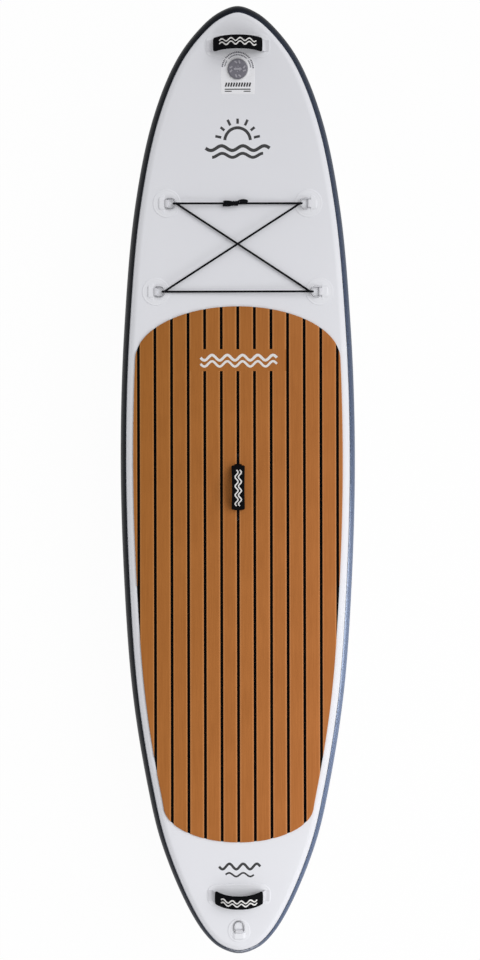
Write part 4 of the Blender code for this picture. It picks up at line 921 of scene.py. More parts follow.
PATCH_WALL = 0.0009
PATCH_EDGE = [(0, 0), (0, 0.0005), (0.0002, 0.00078), (0.0005, 0.0009)]
WELD_LINE = [(0.0052, 0.0009), (0.0058, 0.00080), (0.0066, 0.00080), (0.0072, 0.0009)]
PATCH_RIM = PATCH_EDGE + WELD_LINE
RING_PATCH = 0.047
TAIL_RING_PATCH = 0.038
TAIL_RING_Y = TAIL + 0.0945
BOW_RING_Y = NOSE - 0.644
MID_RING_Y = NOSE - 0.941
RINGS = {
    "bow_left": (-0.240, BOW_RING_Y, 0, RING_PATCH),
    "bow_right": (0.240, BOW_RING_Y, 180, RING_PATCH),
    "mid_left": (-0.279, MID_RING_Y, 0, RING_PATCH),
    "mid_right": (0.279, MID_RING_Y, 180, RING_PATCH),
    "tail": (0.0, TAIL_RING_Y, 90, TAIL_RING_PATCH),
}
for place, (x, y, _, radius) in RINGS.items():
    outline = patch_outline(radius, radius, radius, (x, y), arc=17)
    disc = patch(f"{place}_ring_disc", PATCH_PVC, outline, deck)
    settle(disc, "hull", "white_pvc", f"{place}_ring_patch")

HANDLES = {
    "bow": (NOSE - 0.138, 0, 17.0, 0.0, (0.108, 0.036, 0.030)),
    "centre": (HANDLE_Y, 90, 0.0, PAD_BASE_WALL + PLANK_WALL, (0.025, 0.114, 0.010)),
    "tail": (TAIL + 0.209, 0, -11.5, 0.0, (0.108, 0.036, 0.030)),
}
for place, (y, _, _, lift, shape) in HANDLES.items():
    outline = patch_outline(*shape, (0.0, y), arc=13)
    film = RAIL_PVC if lift else PATCH_PVC
    sheet = patch(f"{place}_handle_base", film, outline, deck)
    settle(sheet, "hull", "dark_pvc" if lift else "white_pvc", f"{place}_handle_patch")
print("patches:", len(RINGS) + len(HANDLES))

# %% [markdown]
# ## Strips, wires and cords along a path
# Webbing, wire and cord are all one profile carried along a path. The profile stands square to the path,
# with one of its directions tied to a fixed direction, so it never twists. Both ends close to a point.


# %% Carry a profile along a path
def swept(path, section, across, closed=False):
    """A profile (across, up) moved along a path, with its UVs: up is across times the path's direction.

    UV runs in metres, U along the path and V round the profile.
    """
    path = np.asarray(path, float)
    if closed:
        ahead = np.roll(path, -1, 0) - np.roll(path, 1, 0)
    else:
        ahead = np.gradient(path, axis=0)
    ahead /= np.linalg.norm(ahead, axis=1)[:, None]
    across = np.broadcast_to(np.asarray(across, float), path.shape)
    side = across - (across * ahead).sum(1)[:, None] * ahead
    side /= np.linalg.norm(side, axis=1)[:, None]
    up = np.cross(side, ahead)
    grid = path[:, None] + section[None, :, :1] * side[:, None] + section[None, :, 1:] * up[:, None]
    run = run_along(path)
    if closed:
        step = np.linalg.norm(path[0] - path[-1])
        grid = np.concatenate([grid, grid[:1]])
        run = np.append(run, run[-1] + step)
    else:
        first, last = (np.repeat(path[[k]], len(section), 0)[None] for k in (0, -1))
        grid = np.concatenate([first, grid, last])
        run = np.concatenate([run[:1], run, run[-1:]])
    return grid, np.stack(np.broadcast_arrays(run[:, None], run_along(section)[None]), -1)


def carried(name, material, path, section, across, closed=False):
    """One profile swept along one path, as an object."""
    grid, uv = swept(path, section, across, closed)
    return surface(name, material, grid, uvs=(uv,))


def circle(radius, sides=14):
    """A round profile, closed by its first point."""
    return polar(radius, np.linspace(0, 2 * pi, sides + 1))


def tape(width, thick, flats=6, bulge=0.0):
    """A flat profile with half-round edges, closed by its first point. bulge crowns both of its faces."""
    r = thick / 2
    reach = width / 2 - r
    x = np.linspace(reach, -reach, flats + 2)[1:-1]
    crown = bulge * (1 - (x / reach) ** 2)
    a = np.linspace(-pi / 2, pi / 2, 7)
    right = polar(r, a) + (reach, 0)
    upper = np.stack([x, r + crown], 1)
    half = np.concatenate([right, upper])
    loop = np.concatenate([half, -half])
    return np.concatenate([loop, loop[:1]])


def frame_along(ahead, place):
    """A frame at a place: its X to starboard, its Y along a direction, and its Z square to both."""
    ahead = Vector(ahead).normalized()
    right = Vector((1, 0, 0))
    made = Matrix((right, ahead, right.cross(ahead))).transposed().to_4x4()
    made.translation = place
    return made


def deck_frame(x, y, turn=0.0, height=0.0):
    """A frame on the deck, its Z square to the deck, turned about it and lifted along it."""
    slope = float(deck(y + 0.02) - deck(y - 0.02)) / 0.04
    made = frame_along((0, 1, slope), (x, y, float(deck(y))))
    return made @ Matrix.Rotation(radians(turn), 4, "Z") @ Matrix.Translation((0, 0, height))


# %% [markdown]
# ## D-rings and their tabs
# A tab is one length of webbing, folded round the ring's straight bar and welded down behind it. The four
# rings of the net are held up at an angle by the cord, and the ring at the tail lies flat.

# %% Ring shapes
RING_TILT = 14.0
WIRE = 0.0045
HALF_SPAN = 0.0165
REACH = 0.0310
CORNER = 0.0040
TAB_WIDTH = 0.0250
TAB_WALL = 0.0015
TAB_BACK = -0.0235
TAB_TOP = TAB_WALL * 1.5 + 0.00005
CLEARANCE = 0.0005
BAR_HEIGHT = 2 * GAP + PATCH_WALL + TAB_WALL + CLEARANCE + WIRE / 2


def ring_path():
    """Half of the wire is a bar, a corner arc and a quarter of the bow, and the other half mirrors it."""
    corner = np.radians(np.linspace(0, 90, 7))
    bow = np.radians(np.linspace(90, 0, 15))
    bar = np.stack([np.zeros(4), np.linspace(0, HALF_SPAN - CORNER, 5)[:4]], 1)
    bend = np.stack([CORNER * (1 - np.cos(corner)), HALF_SPAN - CORNER * (1 - np.sin(corner))], 1)
    round_bow = polar(HALF_SPAN, bow) + (REACH - HALF_SPAN, 0)
    half_ring = np.concatenate([bar, bend, round_bow])
    other = half_ring[1:-1][::-1] * (1, -1)
    flat = np.concatenate([half_ring, other])
    return np.concatenate([flat, np.zeros((len(flat), 1))], 1)


def tab_path():
    """Out under the bar, round it at the height of its middle, and back along the top to the weld."""
    middle = TAB_WALL + CLEARANCE + WIRE / 2
    reach = middle - TAB_WALL / 2
    turn = np.radians(np.linspace(-90, 112, 16))
    under = np.stack([np.linspace(TAB_BACK, -0.002, 8), np.full(8, TAB_WALL / 2)], 1)
    fold = polar(reach, turn) + (0, middle)
    share = np.linspace(0, 1, 9)[1:, None]
    start, end = fold[-1], np.array([-0.0118, TAB_TOP])
    down = start + (end - start) * np.concatenate([share, smooth(share)], 1)
    back = np.stack([np.linspace(-0.0125, TAB_BACK, 9), np.full(9, TAB_TOP)], 1)
    return np.concatenate([under, fold, down, back])


def ring_frame(place):
    """The ring's frame: Y along its bar and X out to the bow, tilted up where the cord holds it."""
    x, y, turn, _ = RINGS[place]
    tilt = -np.degrees(np.arcsin((TAB_WALL + CLEARANCE) / REACH)) if place == "tail" else RING_TILT
    return deck_frame(x, y, turn, BAR_HEIGHT) @ Matrix.Rotation(radians(-tilt), 4, "Y")


# %% Rings and tabs in place
wire_loop = ring_path()
tab_section = tape(TAB_WIDTH, TAB_WALL * 0.96)
flat_tab = tab_path()
tab_points = np.stack([flat_tab[:, 0], 0 * flat_tab[:, 0], flat_tab[:, 1]], 1)
for place, (x, y, turn, _) in RINGS.items():
    body = f"{place}_ring"
    matrix = ring_frame(place)
    normal = np.array(matrix.to_3x3() @ Vector((0, 0, 1)))
    ring = carried(f"{body}_wire", STEEL, moved(wire_loop, matrix), circle(WIRE / 2), normal, closed=True)
    settle(ring, body, "steel", f"{place}_d_ring")
    seat = deck_frame(x, y, turn, 2 * GAP + PATCH_WALL)
    bar_way = np.array(seat.to_3x3() @ Vector((0, 1, 0)))
    tab = carried(f"{body}_webbing", WHITE_WEBBING, moved(tab_points, seat), tab_section, bar_way)
    settle(tab, "hull", "white_webbing", f"{place}_ring_tab")
print("rings and tabs:", 2 * len(RINGS))

# %% [markdown]
# The back of each tab is welded under a second, smaller round of film, which stops short of the ring. It
# is a height field over most of a disc: flat on the patch below, with a soft bump over the two layers of
# webbing. The bump is the product of two smooth steps, one along the tab and one across it.

# %% Covers over the tabs
COVER_RADIUS = 0.0310
COVER_FRONT = -0.0070
COVER_BUMP = 0.0034
COVER_WALL = 0.0006
along = -COVER_RADIUS * np.cos(np.linspace(0, np.arccos(-COVER_FRONT / COVER_RADIUS), 27))
across_share = np.sin(np.linspace(-pi / 2, pi / 2, 33))
cover_x = np.broadcast_to(along[:, None], (27, 33))
cover_y = np.sqrt(np.maximum(COVER_RADIUS**2 - cover_x**2, 0)) * across_share
bump = smooth((cover_x + 0.0305) / 0.0065) * smooth((0.0230 - np.abs(cover_y)) / 0.0095)
rim = np.minimum(COVER_RADIUS - np.hypot(cover_x, cover_y), COVER_FRONT - cover_x)
cover_top = COVER_WALL * smooth(rim / COVER_WALL) + COVER_BUMP * bump
cover_floor = np.where(rim > 0.0004, 0.00002, 0.0)
for place, (x, y, turn, _) in RINGS.items():
    seat = deck_frame(x, y, turn, GAP + PATCH_WALL + 0.00004)
    upper = np.stack([cover_x, cover_y, cover_top], -1)
    lower = np.stack([cover_x, cover_y, np.minimum(cover_floor, cover_top)], -1)
    cover = surface(f"{place}_tab_cover", PATCH_PVC, moved(upper, seat), moved(lower[::-1], seat))
    settle(cover, "hull", "white_pvc")
print("covers:", len(RINGS))

# %% [markdown]
# ## Luggage net
# One bungee cord runs under the two front rings and over the two rear ones, crosses itself, and is
# knotted in front. It is cut where it turns round each ring and in the middle of each run.

# %% Route of the cord
CORD = 0.0070
BEND_LENGTH = 0.005
KNOT_HALF = 0.0095
TURN_RADIUS = WIRE / 2 + CORD / 2 + 0.001
BOWS = {place: np.array(ring_frame(place) @ Vector((REACH, 0, 0))) for place in RINGS}
KNOT = (BOWS["bow_left"] + BOWS["bow_right"]) / 2 - (0.0085, 0, 0)


def round_ring(place, first_side):
    """Half a turn round a ring's wire, inside the ring's eye, from one side of the wire to the other."""
    axes = np.array(ring_frame(place).to_3x3())
    a = np.linspace(0, pi, 13)[:, None]
    return BOWS[place] + TURN_RADIUS * (axes[:, 2] * first_side * np.cos(a) - axes[:, 0] * np.sin(a))


def run_between(start, end, leave, arrive, steps=49):
    """A straight run that leaves and arrives along given directions.

    Each end adds a small offset, distance times exp(-distance / 5 mm) along the difference in direction.
    """
    length = np.linalg.norm(end - start)
    way = (end - start) / length
    d = length * (1 - np.cos(np.linspace(0, pi, steps)))[:, None] / 2
    left = length - d
    leaving = (leave - way) * d * np.exp(-d / BEND_LENGTH)
    return start + way * d + leaving - (arrive - way) * left * np.exp(-left / BEND_LENGTH)


def direction(points, which):
    """The way that a row of points starts, or ends with which = -1."""
    step = points[1] - points[0] if which == 0 else points[-1] - points[-2]
    return step / np.linalg.norm(step)


TURNS = [("bow_right", -1), ("mid_left", 1), ("mid_right", 1), ("bow_left", -1)]
turns = [round_ring(place, side) for place, side in TURNS]
left_way = np.array([-1.0, 0.0, 0.0])
knot_right, knot_left = KNOT + (KNOT_HALF, 0, 0), KNOT - (KNOT_HALF, 0, 0)
runs = [run_between(knot_right, turns[0][0], -left_way, direction(turns[0], 0))]
for before, after in zip(turns, turns[1:]):
    runs.append(run_between(before[-1], after[0], direction(before, -1), direction(after, 0)))
runs.append(run_between(turns[3][-1], knot_left, direction(turns[3], -1), -left_way))
route = np.concatenate([v for pair in zip(runs, [*turns, runs[-1][:0]]) for v in pair])
print("cord between the knot's faces:", round(float(run_along(route)[-1]), 3), "m")

# %% Lay the cord
CORD_ACROSS = (0.0, 1.0, 0.0)
for k, (place, _) in enumerate(TURNS):
    body = f"{place}_ring"
    arriving = runs[k] if k == 0 else runs[k][24:]
    leaving = runs[k + 1] if k == 3 else runs[k + 1][:25]
    for which, path, inner in (
        ("in", np.concatenate([arriving, turns[k][1:7]]), arriving[-1]),
        ("out", np.concatenate([turns[k][6:-1], leaving]), leaving[0]),
    ):
        rope = carried(f"net_{place}_{which}", CORD_BRAID, path, circle(CORD / 2), CORD_ACROSS)
        far = path[0] if which == "in" else path[-1]
        way = (far - inner) / np.linalg.norm(far - inner)
        tuple(inner + way * 0.11)
        tuple(inner + way * 0.006)
        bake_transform(rope)
        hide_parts("bungee_cord")

# %% [markdown]
# The knot is the cord itself: the end from one side runs straight through as a core, and the end from the
# other side is wound round it two and a half times. Both are then doubled back beside the cord, which
# makes a thick bar on one side and a lifted loop on the other.

# %% Knot
core = np.array([
    (-0.0400, 0.0056, 0.0), (-0.0250, 0.0064, 0.0), (-0.0110, 0.0040, 0.001), (-0.004, 0, 0),
    (0.002, 0.0005, 0), (0.0090, 0.0052, 0.001), (0.0160, 0.0088, 0.002), (0.0270, 0.0108, 0.001),
    (0.0370, 0.0096, 0.0), (0.0405, 0.0066, 0.0020), (0.0350, 0.0046, 0.0042), (0.0240, 0.0048, 0.0050),
    (0.0150, 0.0040, 0.0056),
])
turn_share = np.linspace(0, 1, 41)
angle = 2 * pi * 2.55 * turn_share + 0.6
wrap_radius = 0.0053 * np.minimum(1, turn_share / 0.12)
wrap = np.stack([0.0095 - 0.0185 * turn_share, wrap_radius * np.cos(angle), wrap_radius * np.sin(angle)], 1)
tail = np.array([(-0.0135, -0.0056, 0.0030), (-0.0200, -0.0068, 0.0012), (-0.0310, -0.0070, 0.0)])
wrap = np.concatenate([[(0.0125, 0, 0)], wrap, tail, [(-0.0420, -0.0066, 0.0)]])
for name, points, across in (("knot_core", core, (0, 0, 1)), ("knot_wrap", wrap, (1, 0, 0))):
    ends = np.concatenate([[2 * points[0] - points[1]], points, [2 * points[-1] - points[-2]]])
    strand = carried(name, CORD_BRAID, KNOT + curve_through(ends, 4), circle(CORD / 2), across)
    settle(strand, "hull", "black_fabric", "bungee_knot")
print("net pieces: 10")

# %% [markdown]
# ## Carry handles
# A handle is a strap of webbing, welded down at both feet, that arches through a padded grip. Over the
# grip its middle line falls off from the top as a power of the distance, here 2.4, which is flatter than
# a parabola. Then it runs down to each foot on a cubic that is level where it meets the patch.

# %% Handle arch
ARCH_POWER = 2.4
STRAP_RAMP_END = 0.094
CENTRE_RAMP_END = 0.078
FOOT_END = 0.104
STRAP_WIDTH = 0.036
CENTRE_STRAP_SHARE = 0.62
STRAP_WALL = 0.0012
GRIP_LENGTH = 0.158
CENTRE_GRIP_LENGTH = 0.147
GRIP_WIDTH = 0.046
GRIP_THICKNESS = 0.0104
GRIP_END_HEIGHT = 0.013
GRIP_RISE = 0.037


def foot_start(lift):
    """Where the strap reaches its patch: close by the grip where it drops through the pad."""
    return CENTRE_RAMP_END if lift else STRAP_RAMP_END


def grip_length(lift):
    """The grip in the pad is a little shorter."""
    return CENTRE_GRIP_LENGTH if lift else GRIP_LENGTH


def handle_height(s, lift):
    """Height of the middle line over the patch, at a distance along it from the middle."""
    s = np.abs(s)
    half_grip = grip_length(lift) / 2
    end, rise, foot = GRIP_END_HEIGHT + lift, GRIP_RISE, GAP + STRAP_WALL / 2
    span = foot_start(lift) - half_grip
    t = np.clip((s - half_grip) / span, 0, 1)
    slope = -rise * ARCH_POWER / half_grip * span
    ramp = (2 * t**3 - 3 * t**2 + 1) * end + (t**3 - 2 * t**2 + t) * slope + (3 * t**2 - 2 * t**3) * foot
    arch = end + rise * (1 - (np.minimum(s, half_grip) / half_grip) ** ARCH_POWER)
    return np.where(s <= half_grip, arch, ramp)


def arched(s, section, lean, lift, wide=1.0, thick=1.0):
    """A profile (across, out) carried along the arch, wider or thinner along it, then tipped by the lean."""
    slope = (handle_height(s + 1e-4, lift) - handle_height(s - 1e-4, lift)) / 2e-4
    size = np.hypot(1, slope)
    ax, az = (1 / size)[:, None], (slope / size)[:, None]
    out = section[None, :, 1] * np.broadcast_to(thick, len(s))[:, None]
    y = section[None, :, 0] * np.broadcast_to(wide, len(s))[:, None]
    x = s[:, None] - az * out
    z = handle_height(s, lift)[:, None] + ax * out
    half_grip = grip_length(lift) / 2
    t = (np.abs(s) - half_grip) / (foot_start(lift) - half_grip)
    turn = np.radians(lean) * (1 - smooth(t))[:, None]
    return np.stack([x + 0 * y, y * np.cos(turn) + z * np.sin(turn), z * np.cos(turn) - y * np.sin(turn)], -1)


def closed_ends(grid):
    """Adds a ring drawn to a point at each end."""
    first, last = (np.repeat(grid[k].mean(0)[None], grid.shape[1], 0)[None] for k in (0, -1))
    return np.concatenate([first, grid, last])


def woven_uv(s, section):
    """U along the piece and V round the profile, both in metres, with the two end rings repeated."""
    s = np.concatenate([s[:1], s, s[-1:]])
    return np.stack(np.broadcast_arrays(s[:, None], run_along(section)[None]), -1)


# %% Straps and grips
strap_section = tape(STRAP_WIDTH, STRAP_WALL, 7)
grip_section = tape(GRIP_WIDTH, GRIP_THICKNESS, 11, 0.0007)
CORNER_ROUND = 0.004
PUFF_LENGTH = 0.006


def grip_outline(half):
    """Places along a grip, and its share of the full width and thickness there: both ends are round."""
    end_d = np.concatenate([[0, 0.0004, 0.0013, 0.0028, 0.0047, 0.007], np.linspace(0.010, half, 18)])
    s = np.concatenate([end_d - half, (half - end_d)[::-1][1:]])
    from_end = half - np.abs(s)
    in_corner = np.clip(CORNER_ROUND - from_end, 0, None)
    plan = 1 - (CORNER_ROUND - np.sqrt(CORNER_ROUND**2 - in_corner**2)) / (GRIP_WIDTH / 2)
    in_puff = np.clip(PUFF_LENGTH - from_end, 0, None) / PUFF_LENGTH
    puff = 0.52 + 0.48 * np.sqrt(np.clip(1 - in_puff**2, 0, 1))
    return s, plan, puff


for place, (y, turn, lean, lift, _) in HANDLES.items():
    body = f"{place}_handle"
    seat = deck_frame(0, y, turn, GAP + PATCH_WALL)
    half_grip = grip_length(lift) / 2
    grip_s, plan, puff = grip_outline(half_grip)
    waist = 1 - 0.08 * np.cos(pi * grip_s / (2 * half_grip)) if place == "centre" else 1.0
    grid = closed_ends(arched(grip_s, grip_section, lean, lift, plan * waist, puff))
    grip = surface(f"{body}_pad", GRIP_CLOTH, moved(grid, seat), uvs=(woven_uv(grip_s, grip_section),))
    settle(grip, body, "black_fabric", f"{body}_grip", foam_fill=0.9)
    cloth, slot_name = (GRIP_CLOTH, "black_fabric") if lift else (WHITE_WEBBING, "white_webbing")
    for side_name, side in (("a", -1), ("b", 1)):
        hidden = np.linspace(0, half_grip, 12)
        seen = np.linspace(half_grip, foot_start(lift), 18)[1:]
        foot = np.linspace(foot_start(lift), FOOT_END, 6)[1:]
        s = side * np.concatenate([hidden, seen, foot])
        grid = closed_ends(arched(s, strap_section, lean, lift, CENTRE_STRAP_SHARE if lift else 1.0))
        name = f"{body}_webbing_{side_name}"
        strap = surface(name, cloth, moved(grid, seat), uvs=(woven_uv(s, strap_section),))
        ends = side * np.array([foot_start(lift), half_grip + 0.0005])
        points = arched(ends, np.zeros((1, 2)), lean, lift)[:, 0]
        start, end = moved(points, seat)
        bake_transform(strap)
        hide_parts(f"{body}_strap")
print("handles:", len(HANDLES))

# %% [markdown]
# Each grip carries a pale woven mark, here two plain waves. They are flat threads that follow the grip's
# face: the arch formula is used again, with the wave as the distance across.

# %% Woven waves on the grips
WAVE_THREAD = tape(0.0046, 0.0005, 3)
WAVE_APART = 0.0056
WAVE_HEIGHT = 0.0048
WAVE_LENGTH = 0.0285
WAVE_LIFT = 0.00605
wave_s = np.linspace(-2 * WAVE_LENGTH, 2 * WAVE_LENGTH, 115)
for place, (y, turn, lean, lift, _) in HANDLES.items():
    seat = deck_frame(0, y, turn, GAP + PATCH_WALL)
    across = np.array(seat.to_3x3() @ Vector((0, 1, 0)))
    waves = []
    for middle in (-WAVE_APART, WAVE_APART):
        wave = middle + WAVE_HEIGHT * np.sin(2 * pi * wave_s / WAVE_LENGTH)
        line = arched(wave_s, np.array([[1.0, WAVE_LIFT]]), lean, lift, wave)[:, 0]
        waves.append(swept(moved(line, seat), WAVE_THREAD, across))
    mark = surface(f"{place}_grip_waves", WHITE_INK, *[w[0] for w in waves], uvs=[w[1] for w in waves])
    settle(mark, f"{place}_handle", "white_webbing")
print("woven marks:", len(HANDLES))

# %% [markdown]
# ## Valve
# The cap is a turned shape: a profile of radius and height, swept round its axis. Its skirt has grip
# ribs, which are a small cosine added to the radius.


# %% Turned shapes
def turned(name, material, profile, matrix, sides=96, ribs=0, depth=0.0, ribbed=()):
    """A profile (radius, height) turned about Z. ribs are waves on the radius of the points in ribbed."""
    profile = np.asarray(profile, float)
    a = np.linspace(0, 2 * pi, sides + 1)[:, None]
    weight = np.zeros(len(profile))
    weight[list(ribbed)] = 1.0
    r = profile[None, :, 0] - depth * weight * (0.5 - 0.5 * np.cos(ribs * a)) ** 2
    grid = np.concatenate([polar(r, a), (profile[None, :, 1] + 0 * a)[..., None]], -1)
    return surface(name, material, moved(grid, matrix))


VALVE_Y = NOSE - 0.209
VALVE = deck_frame(0, VALVE_Y)
VALVE_AXIS = VALVE.to_3x3() @ Vector((0, 0, 1))
CAP_RIBS = 40
RIB_DEPTH = 0.0009
cap_profile = [
    (0.0, 0.0100), (0.0100, 0.0100), (0.0150, 0.0100), (0.0153, 0.0096), (0.0168, 0.0096),
    (0.0171, 0.0100), (0.0290, 0.0100), (0.0306, 0.0098), (0.0318, 0.0091), (0.0326, 0.0080),
    (0.0328, 0.0070), (0.0328, 0.0030), (0.0328, 0.0009), (0.0314, 0.0009), (0.0314, 0.0065),
    (0.0156, 0.0065), (0.0156, 0.0005), (0.0132, 0.0005), (0.0132, 0.0065), (0.0, 0.0065),
]
cap = turned("valve_top", GREY_PLASTIC, cap_profile, VALVE, 240, CAP_RIBS, RIB_DEPTH, range(8, 13))
settle(cap, "cap", "grey_plastic", "valve_cap")
print("cap:", len(cap.data.polygons), "faces")

# %% [markdown]
# The cap's face is moulded with a ring of low wedges, a thumb bar across the middle and dots between
# them, which catch the light in patches, and they are painted much paler than the cap, as a painted
# highlight. They are blocks with sloping sides, each a section carried a short way.

# %% Relief on the cap
LOW_BLOCK = np.array([[0.5, 0.0], [0.34, 0.0012], [-0.34, 0.0012], [-0.5, 0.0], [0.5, 0.0]])
CAP_FACE = 0.0099


def straight(start, end, steps=5):
    """Points on a straight line."""
    share = np.linspace(0, 1, steps)[:, None]
    return np.array(start) + (np.array(end) - np.array(start)) * share


def cap_block(start, end, width):
    """A low block with sloping sides, from one place to another on the cap's face."""
    path = np.concatenate([straight(start, end, 9), np.full((9, 1), CAP_FACE)], 1)
    way = path[-1] - path[0]
    across = np.array([way[1], -way[0], 0.0])
    return swept(path, LOW_BLOCK * (width, 1.0), across / np.linalg.norm(across))[0]


blocks = [cap_block((-0.0128, 0.0), (0.0128, 0.0), 0.0062)]
for k in range(12):
    if k % 3 != 1:
        a = 2 * pi * (k + 0.25) / 12
        blocks.append(cap_block(polar(0.0188, a), polar(0.0272, a + 0.26), 0.0052))
for k in range(6):
    dot = polar(0.0085, 2 * pi * k / 6 + 0.4)
    blocks.append(cap_block(dot + (-0.0012, 0.001), dot + (0.0016, 0.0), 0.0028))
relief = surface("valve_top_relief", RELIEF_HIGHLIGHT_PLASTIC, *[moved(block, VALVE) for block in blocks])
settle(relief, "cap", "grey_plastic")
print("relief blocks:", len(blocks))

# %% [markdown]
# Under the cap, a push stem closes the valve against a coil spring. The spring is a helix, (r cos a, r
# sin a) with its height growing evenly.

# %% Spring of the valve
SPRING_FOOT, SPRING_TOP = -0.0093, -0.0047
SPRING_RADIUS = 0.0048
SPRING_TURNS = 3.5
SPRING_WIRE = 0.0004
a = np.linspace(0, 2 * pi * SPRING_TURNS, 127)
height = np.linspace(SPRING_FOOT, SPRING_TOP, 127)
coil = np.concatenate([polar(SPRING_RADIUS, a), height[:, None]], 1)
spring = carried("valve_coil", STEEL, moved(coil, VALVE), circle(SPRING_WIRE, 8), tuple(VALVE_AXIS))
settle(spring, "hull", "steel", "valve_spring")
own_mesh(spring)
print("spring:", len(spring.data.polygons), "faces")

# %% [markdown]
# The deck has a round hole for the valve's barrel. A hole in a curved sheet with a wall is quicker cut
# than built, so this is a Boolean with a cylinder, made final at once.


# %% Hole for the valve
def bored(piece, radius, depth, matrix):
    """Cuts a round hole through a piece along a frame's Z, and keeps the result as its mesh."""
    profile = [(0.0, -depth), (radius, -depth), (radius, depth), (0.0, depth)]
    cutter = turned("hole", BLACK_PLASTIC, profile, matrix, 64)
    cut = piece.modifiers.new("hole", "BOOLEAN")
    cut.operation = "DIFFERENCE"
    cut.solver = "EXACT"
    cut.object = cutter
    graph = bpy.context.evaluated_depsgraph_get()
    made = bpy.data.meshes.new_from_object(piece.evaluated_get(graph))
    piece.modifiers.clear()
    piece.data = made
    bpy.data.objects.remove(cutter)
    return piece


HOLE_RADIUS = 0.0203
bored(deck_skin, HOLE_RADIUS, 0.02, VALVE)
print("deck with its hole:", len(deck_skin.data.polygons), "faces")

# %% [markdown]
# Round the valve lies a thin film, round at the top and square below. Its grid runs outwards from a
# circle under the flange to the edge: the edge's distance at an angle is the film's radius above, and the
# nearer of the side and the foot below. Its top runs up over the edge of the bow handle's patch.

# %% Film round the valve
FILM_HALF = 0.0570
FILM_FOOT = 0.0800
FILM_WALL = 0.00022
PATCH_FOOT = HANDLES["bow"][0] - HANDLES["bow"][4][1]


def film_edge(a, inset=0.0):
    """How far the film's edge is from the valve's centre at an angle."""
    half, foot = FILM_HALF - inset, FILM_FOOT - inset
    side = half / np.maximum(np.abs(np.cos(a)), 1e-6)
    below = foot / np.maximum(-np.sin(a), 1e-6)
    return np.where(np.sin(a) >= 0, half, np.minimum(side, below))


def film_ground(y):
    """What the film lies on: the deck, and a soft step up onto the patch."""
    return deck(y) + 0.00006 + (GAP + PATCH_WALL) * smooth((y - PATCH_FOOT) / 0.005 + 1)


corner_angle = np.arctan2(FILM_FOOT, FILM_HALF)
bounds = (0, pi, pi + corner_angle, 2 * pi - corner_angle, 2 * pi)
spans = zip(bounds, bounds[1:], (49, 13, 17, 13))
a = np.concatenate([[0], *(np.linspace(low, high, count)[1:] for low, high, count in spans)])
inner_r, share = 0.0300, np.linspace(0, 1, 13)
reaches = inner_r + (film_edge(a, 0.0004)[:, None] - inner_r) * share
inner_ring = np.full((len(a), 1), inner_r)
reaches = np.concatenate([inner_ring, reaches, film_edge(a)[:, None], inner_ring], 1)
rises = np.concatenate([[0.00002], np.full(len(share), FILM_WALL), [0.00002, 0.00002]])
x, y = reaches * np.cos(a)[:, None], VALVE_Y + reaches * np.sin(a)[:, None]
film = surface("valve_film", FILM_PVC, np.stack([x, y, film_ground(y) + rises], -1))
settle(film, "hull", "white_pvc")
rim_profile = [(0.0335, 0.0004), (0.0335, 0.0014), (0.0342, 0.0019)]
rim_profile += [(0.0372, 0.0019), (0.0382, 0.0012), (0.0384, 0.0004)]
rim = turned("valve_rim", WHITE_PLASTIC, [*rim_profile, rim_profile[0]], VALVE)
settle(rim, "hull", "white_pvc")
print("film", round(2 * FILM_HALF, 3), "m wide")

# %% [markdown]
# ## Printed marks
# Printed marks are very thin strokes on the surface below them. A stroke is a flat tape swept along a
# line in the plane, lifted to the ground under each of its points and tipped to its slope. The prints
# here are plain ones: dashes, hatching and waves.


# %% Printing
STROKE_WALL = 0.00016
STROKE_LIFT = 0.00012


def print_marks(name, material, slot, lines, ground):
    """One object of flat strokes: lines holds (points, width), and ground gives the height at y."""
    grids = []
    for points, width in lines:
        points = np.asarray(points, float)
        way = np.gradient(points, axis=0)
        size = np.linalg.norm(way, axis=1)[:, None]
        across = np.concatenate([way[:, 1:], -way[:, :1]], 1) / size
        y = points[:, 1]
        path = np.concatenate([points, ground(y)[:, None]], 1)
        slope = (ground(y + 1e-4) - ground(y - 1e-4)) / 2e-4
        across = np.concatenate([across, (slope * across[:, 1])[:, None]], 1)
        grids.append(swept(path, tape(width, STROKE_WALL, 2), across)[0])
    made = surface(name, material, *grids)
    return settle(made, "hull", slot)


def arc(radius, start, end, centre, steps=9):
    """Points on a circle between two angles in degrees."""
    return polar(radius, np.radians(np.linspace(start, end, steps))) + np.array(centre)


def wave_line(half, height, waves, centre):
    """A sine wave along X."""
    x = np.linspace(-half, half, 97)
    return np.stack([centre[0] + x, centre[1] + height * np.sin(pi * waves * x / half)], 1)


def deck_print(y):
    """The height of a print on the deck."""
    return deck(y) + STROKE_LIFT


def pad_print(y):
    """The height of a print on the pad's strips."""
    return deck(y) + PLANK_BASE + PLANK_WALL + STROKE_LIFT


# %% Marks round the valve
dashes = [(arc(0.0515, s, s + 4.6, (0, VALVE_Y), 4), 0.0048) for s in np.arange(2, 174, 6.4)]
dashes += [(arc(0.0435, s, s + 5.4, (0, VALVE_Y), 4), 0.0036) for s in np.arange(6, 170, 7.2)]
print_marks("valve_dashes", GREY_INK, "dark_pvc", dashes, lambda y: film_ground(y) + FILM_WALL + 0.00020)
hatch = []
for left in -0.0405 + 0.0088 * np.arange(10):
    hatch.append((straight((left, VALVE_Y - 0.0560), (left + 0.0040, VALVE_Y - 0.0430), 4), 0.0056))
for left, right, down, width in (
    (-0.0430, 0.0430, 0.0640, 0.0036), (-0.0430, -0.0200, 0.0705, 0.0032), (0.0200, 0.0430, 0.0705, 0.0032)
):
    hatch.append((straight((left, VALVE_Y - down), (right, VALVE_Y - down)), width))
print_marks("valve_hatching", BLACK_INK, "dark_pvc", hatch, lambda y: film_ground(y) + FILM_WALL + 0.00004)
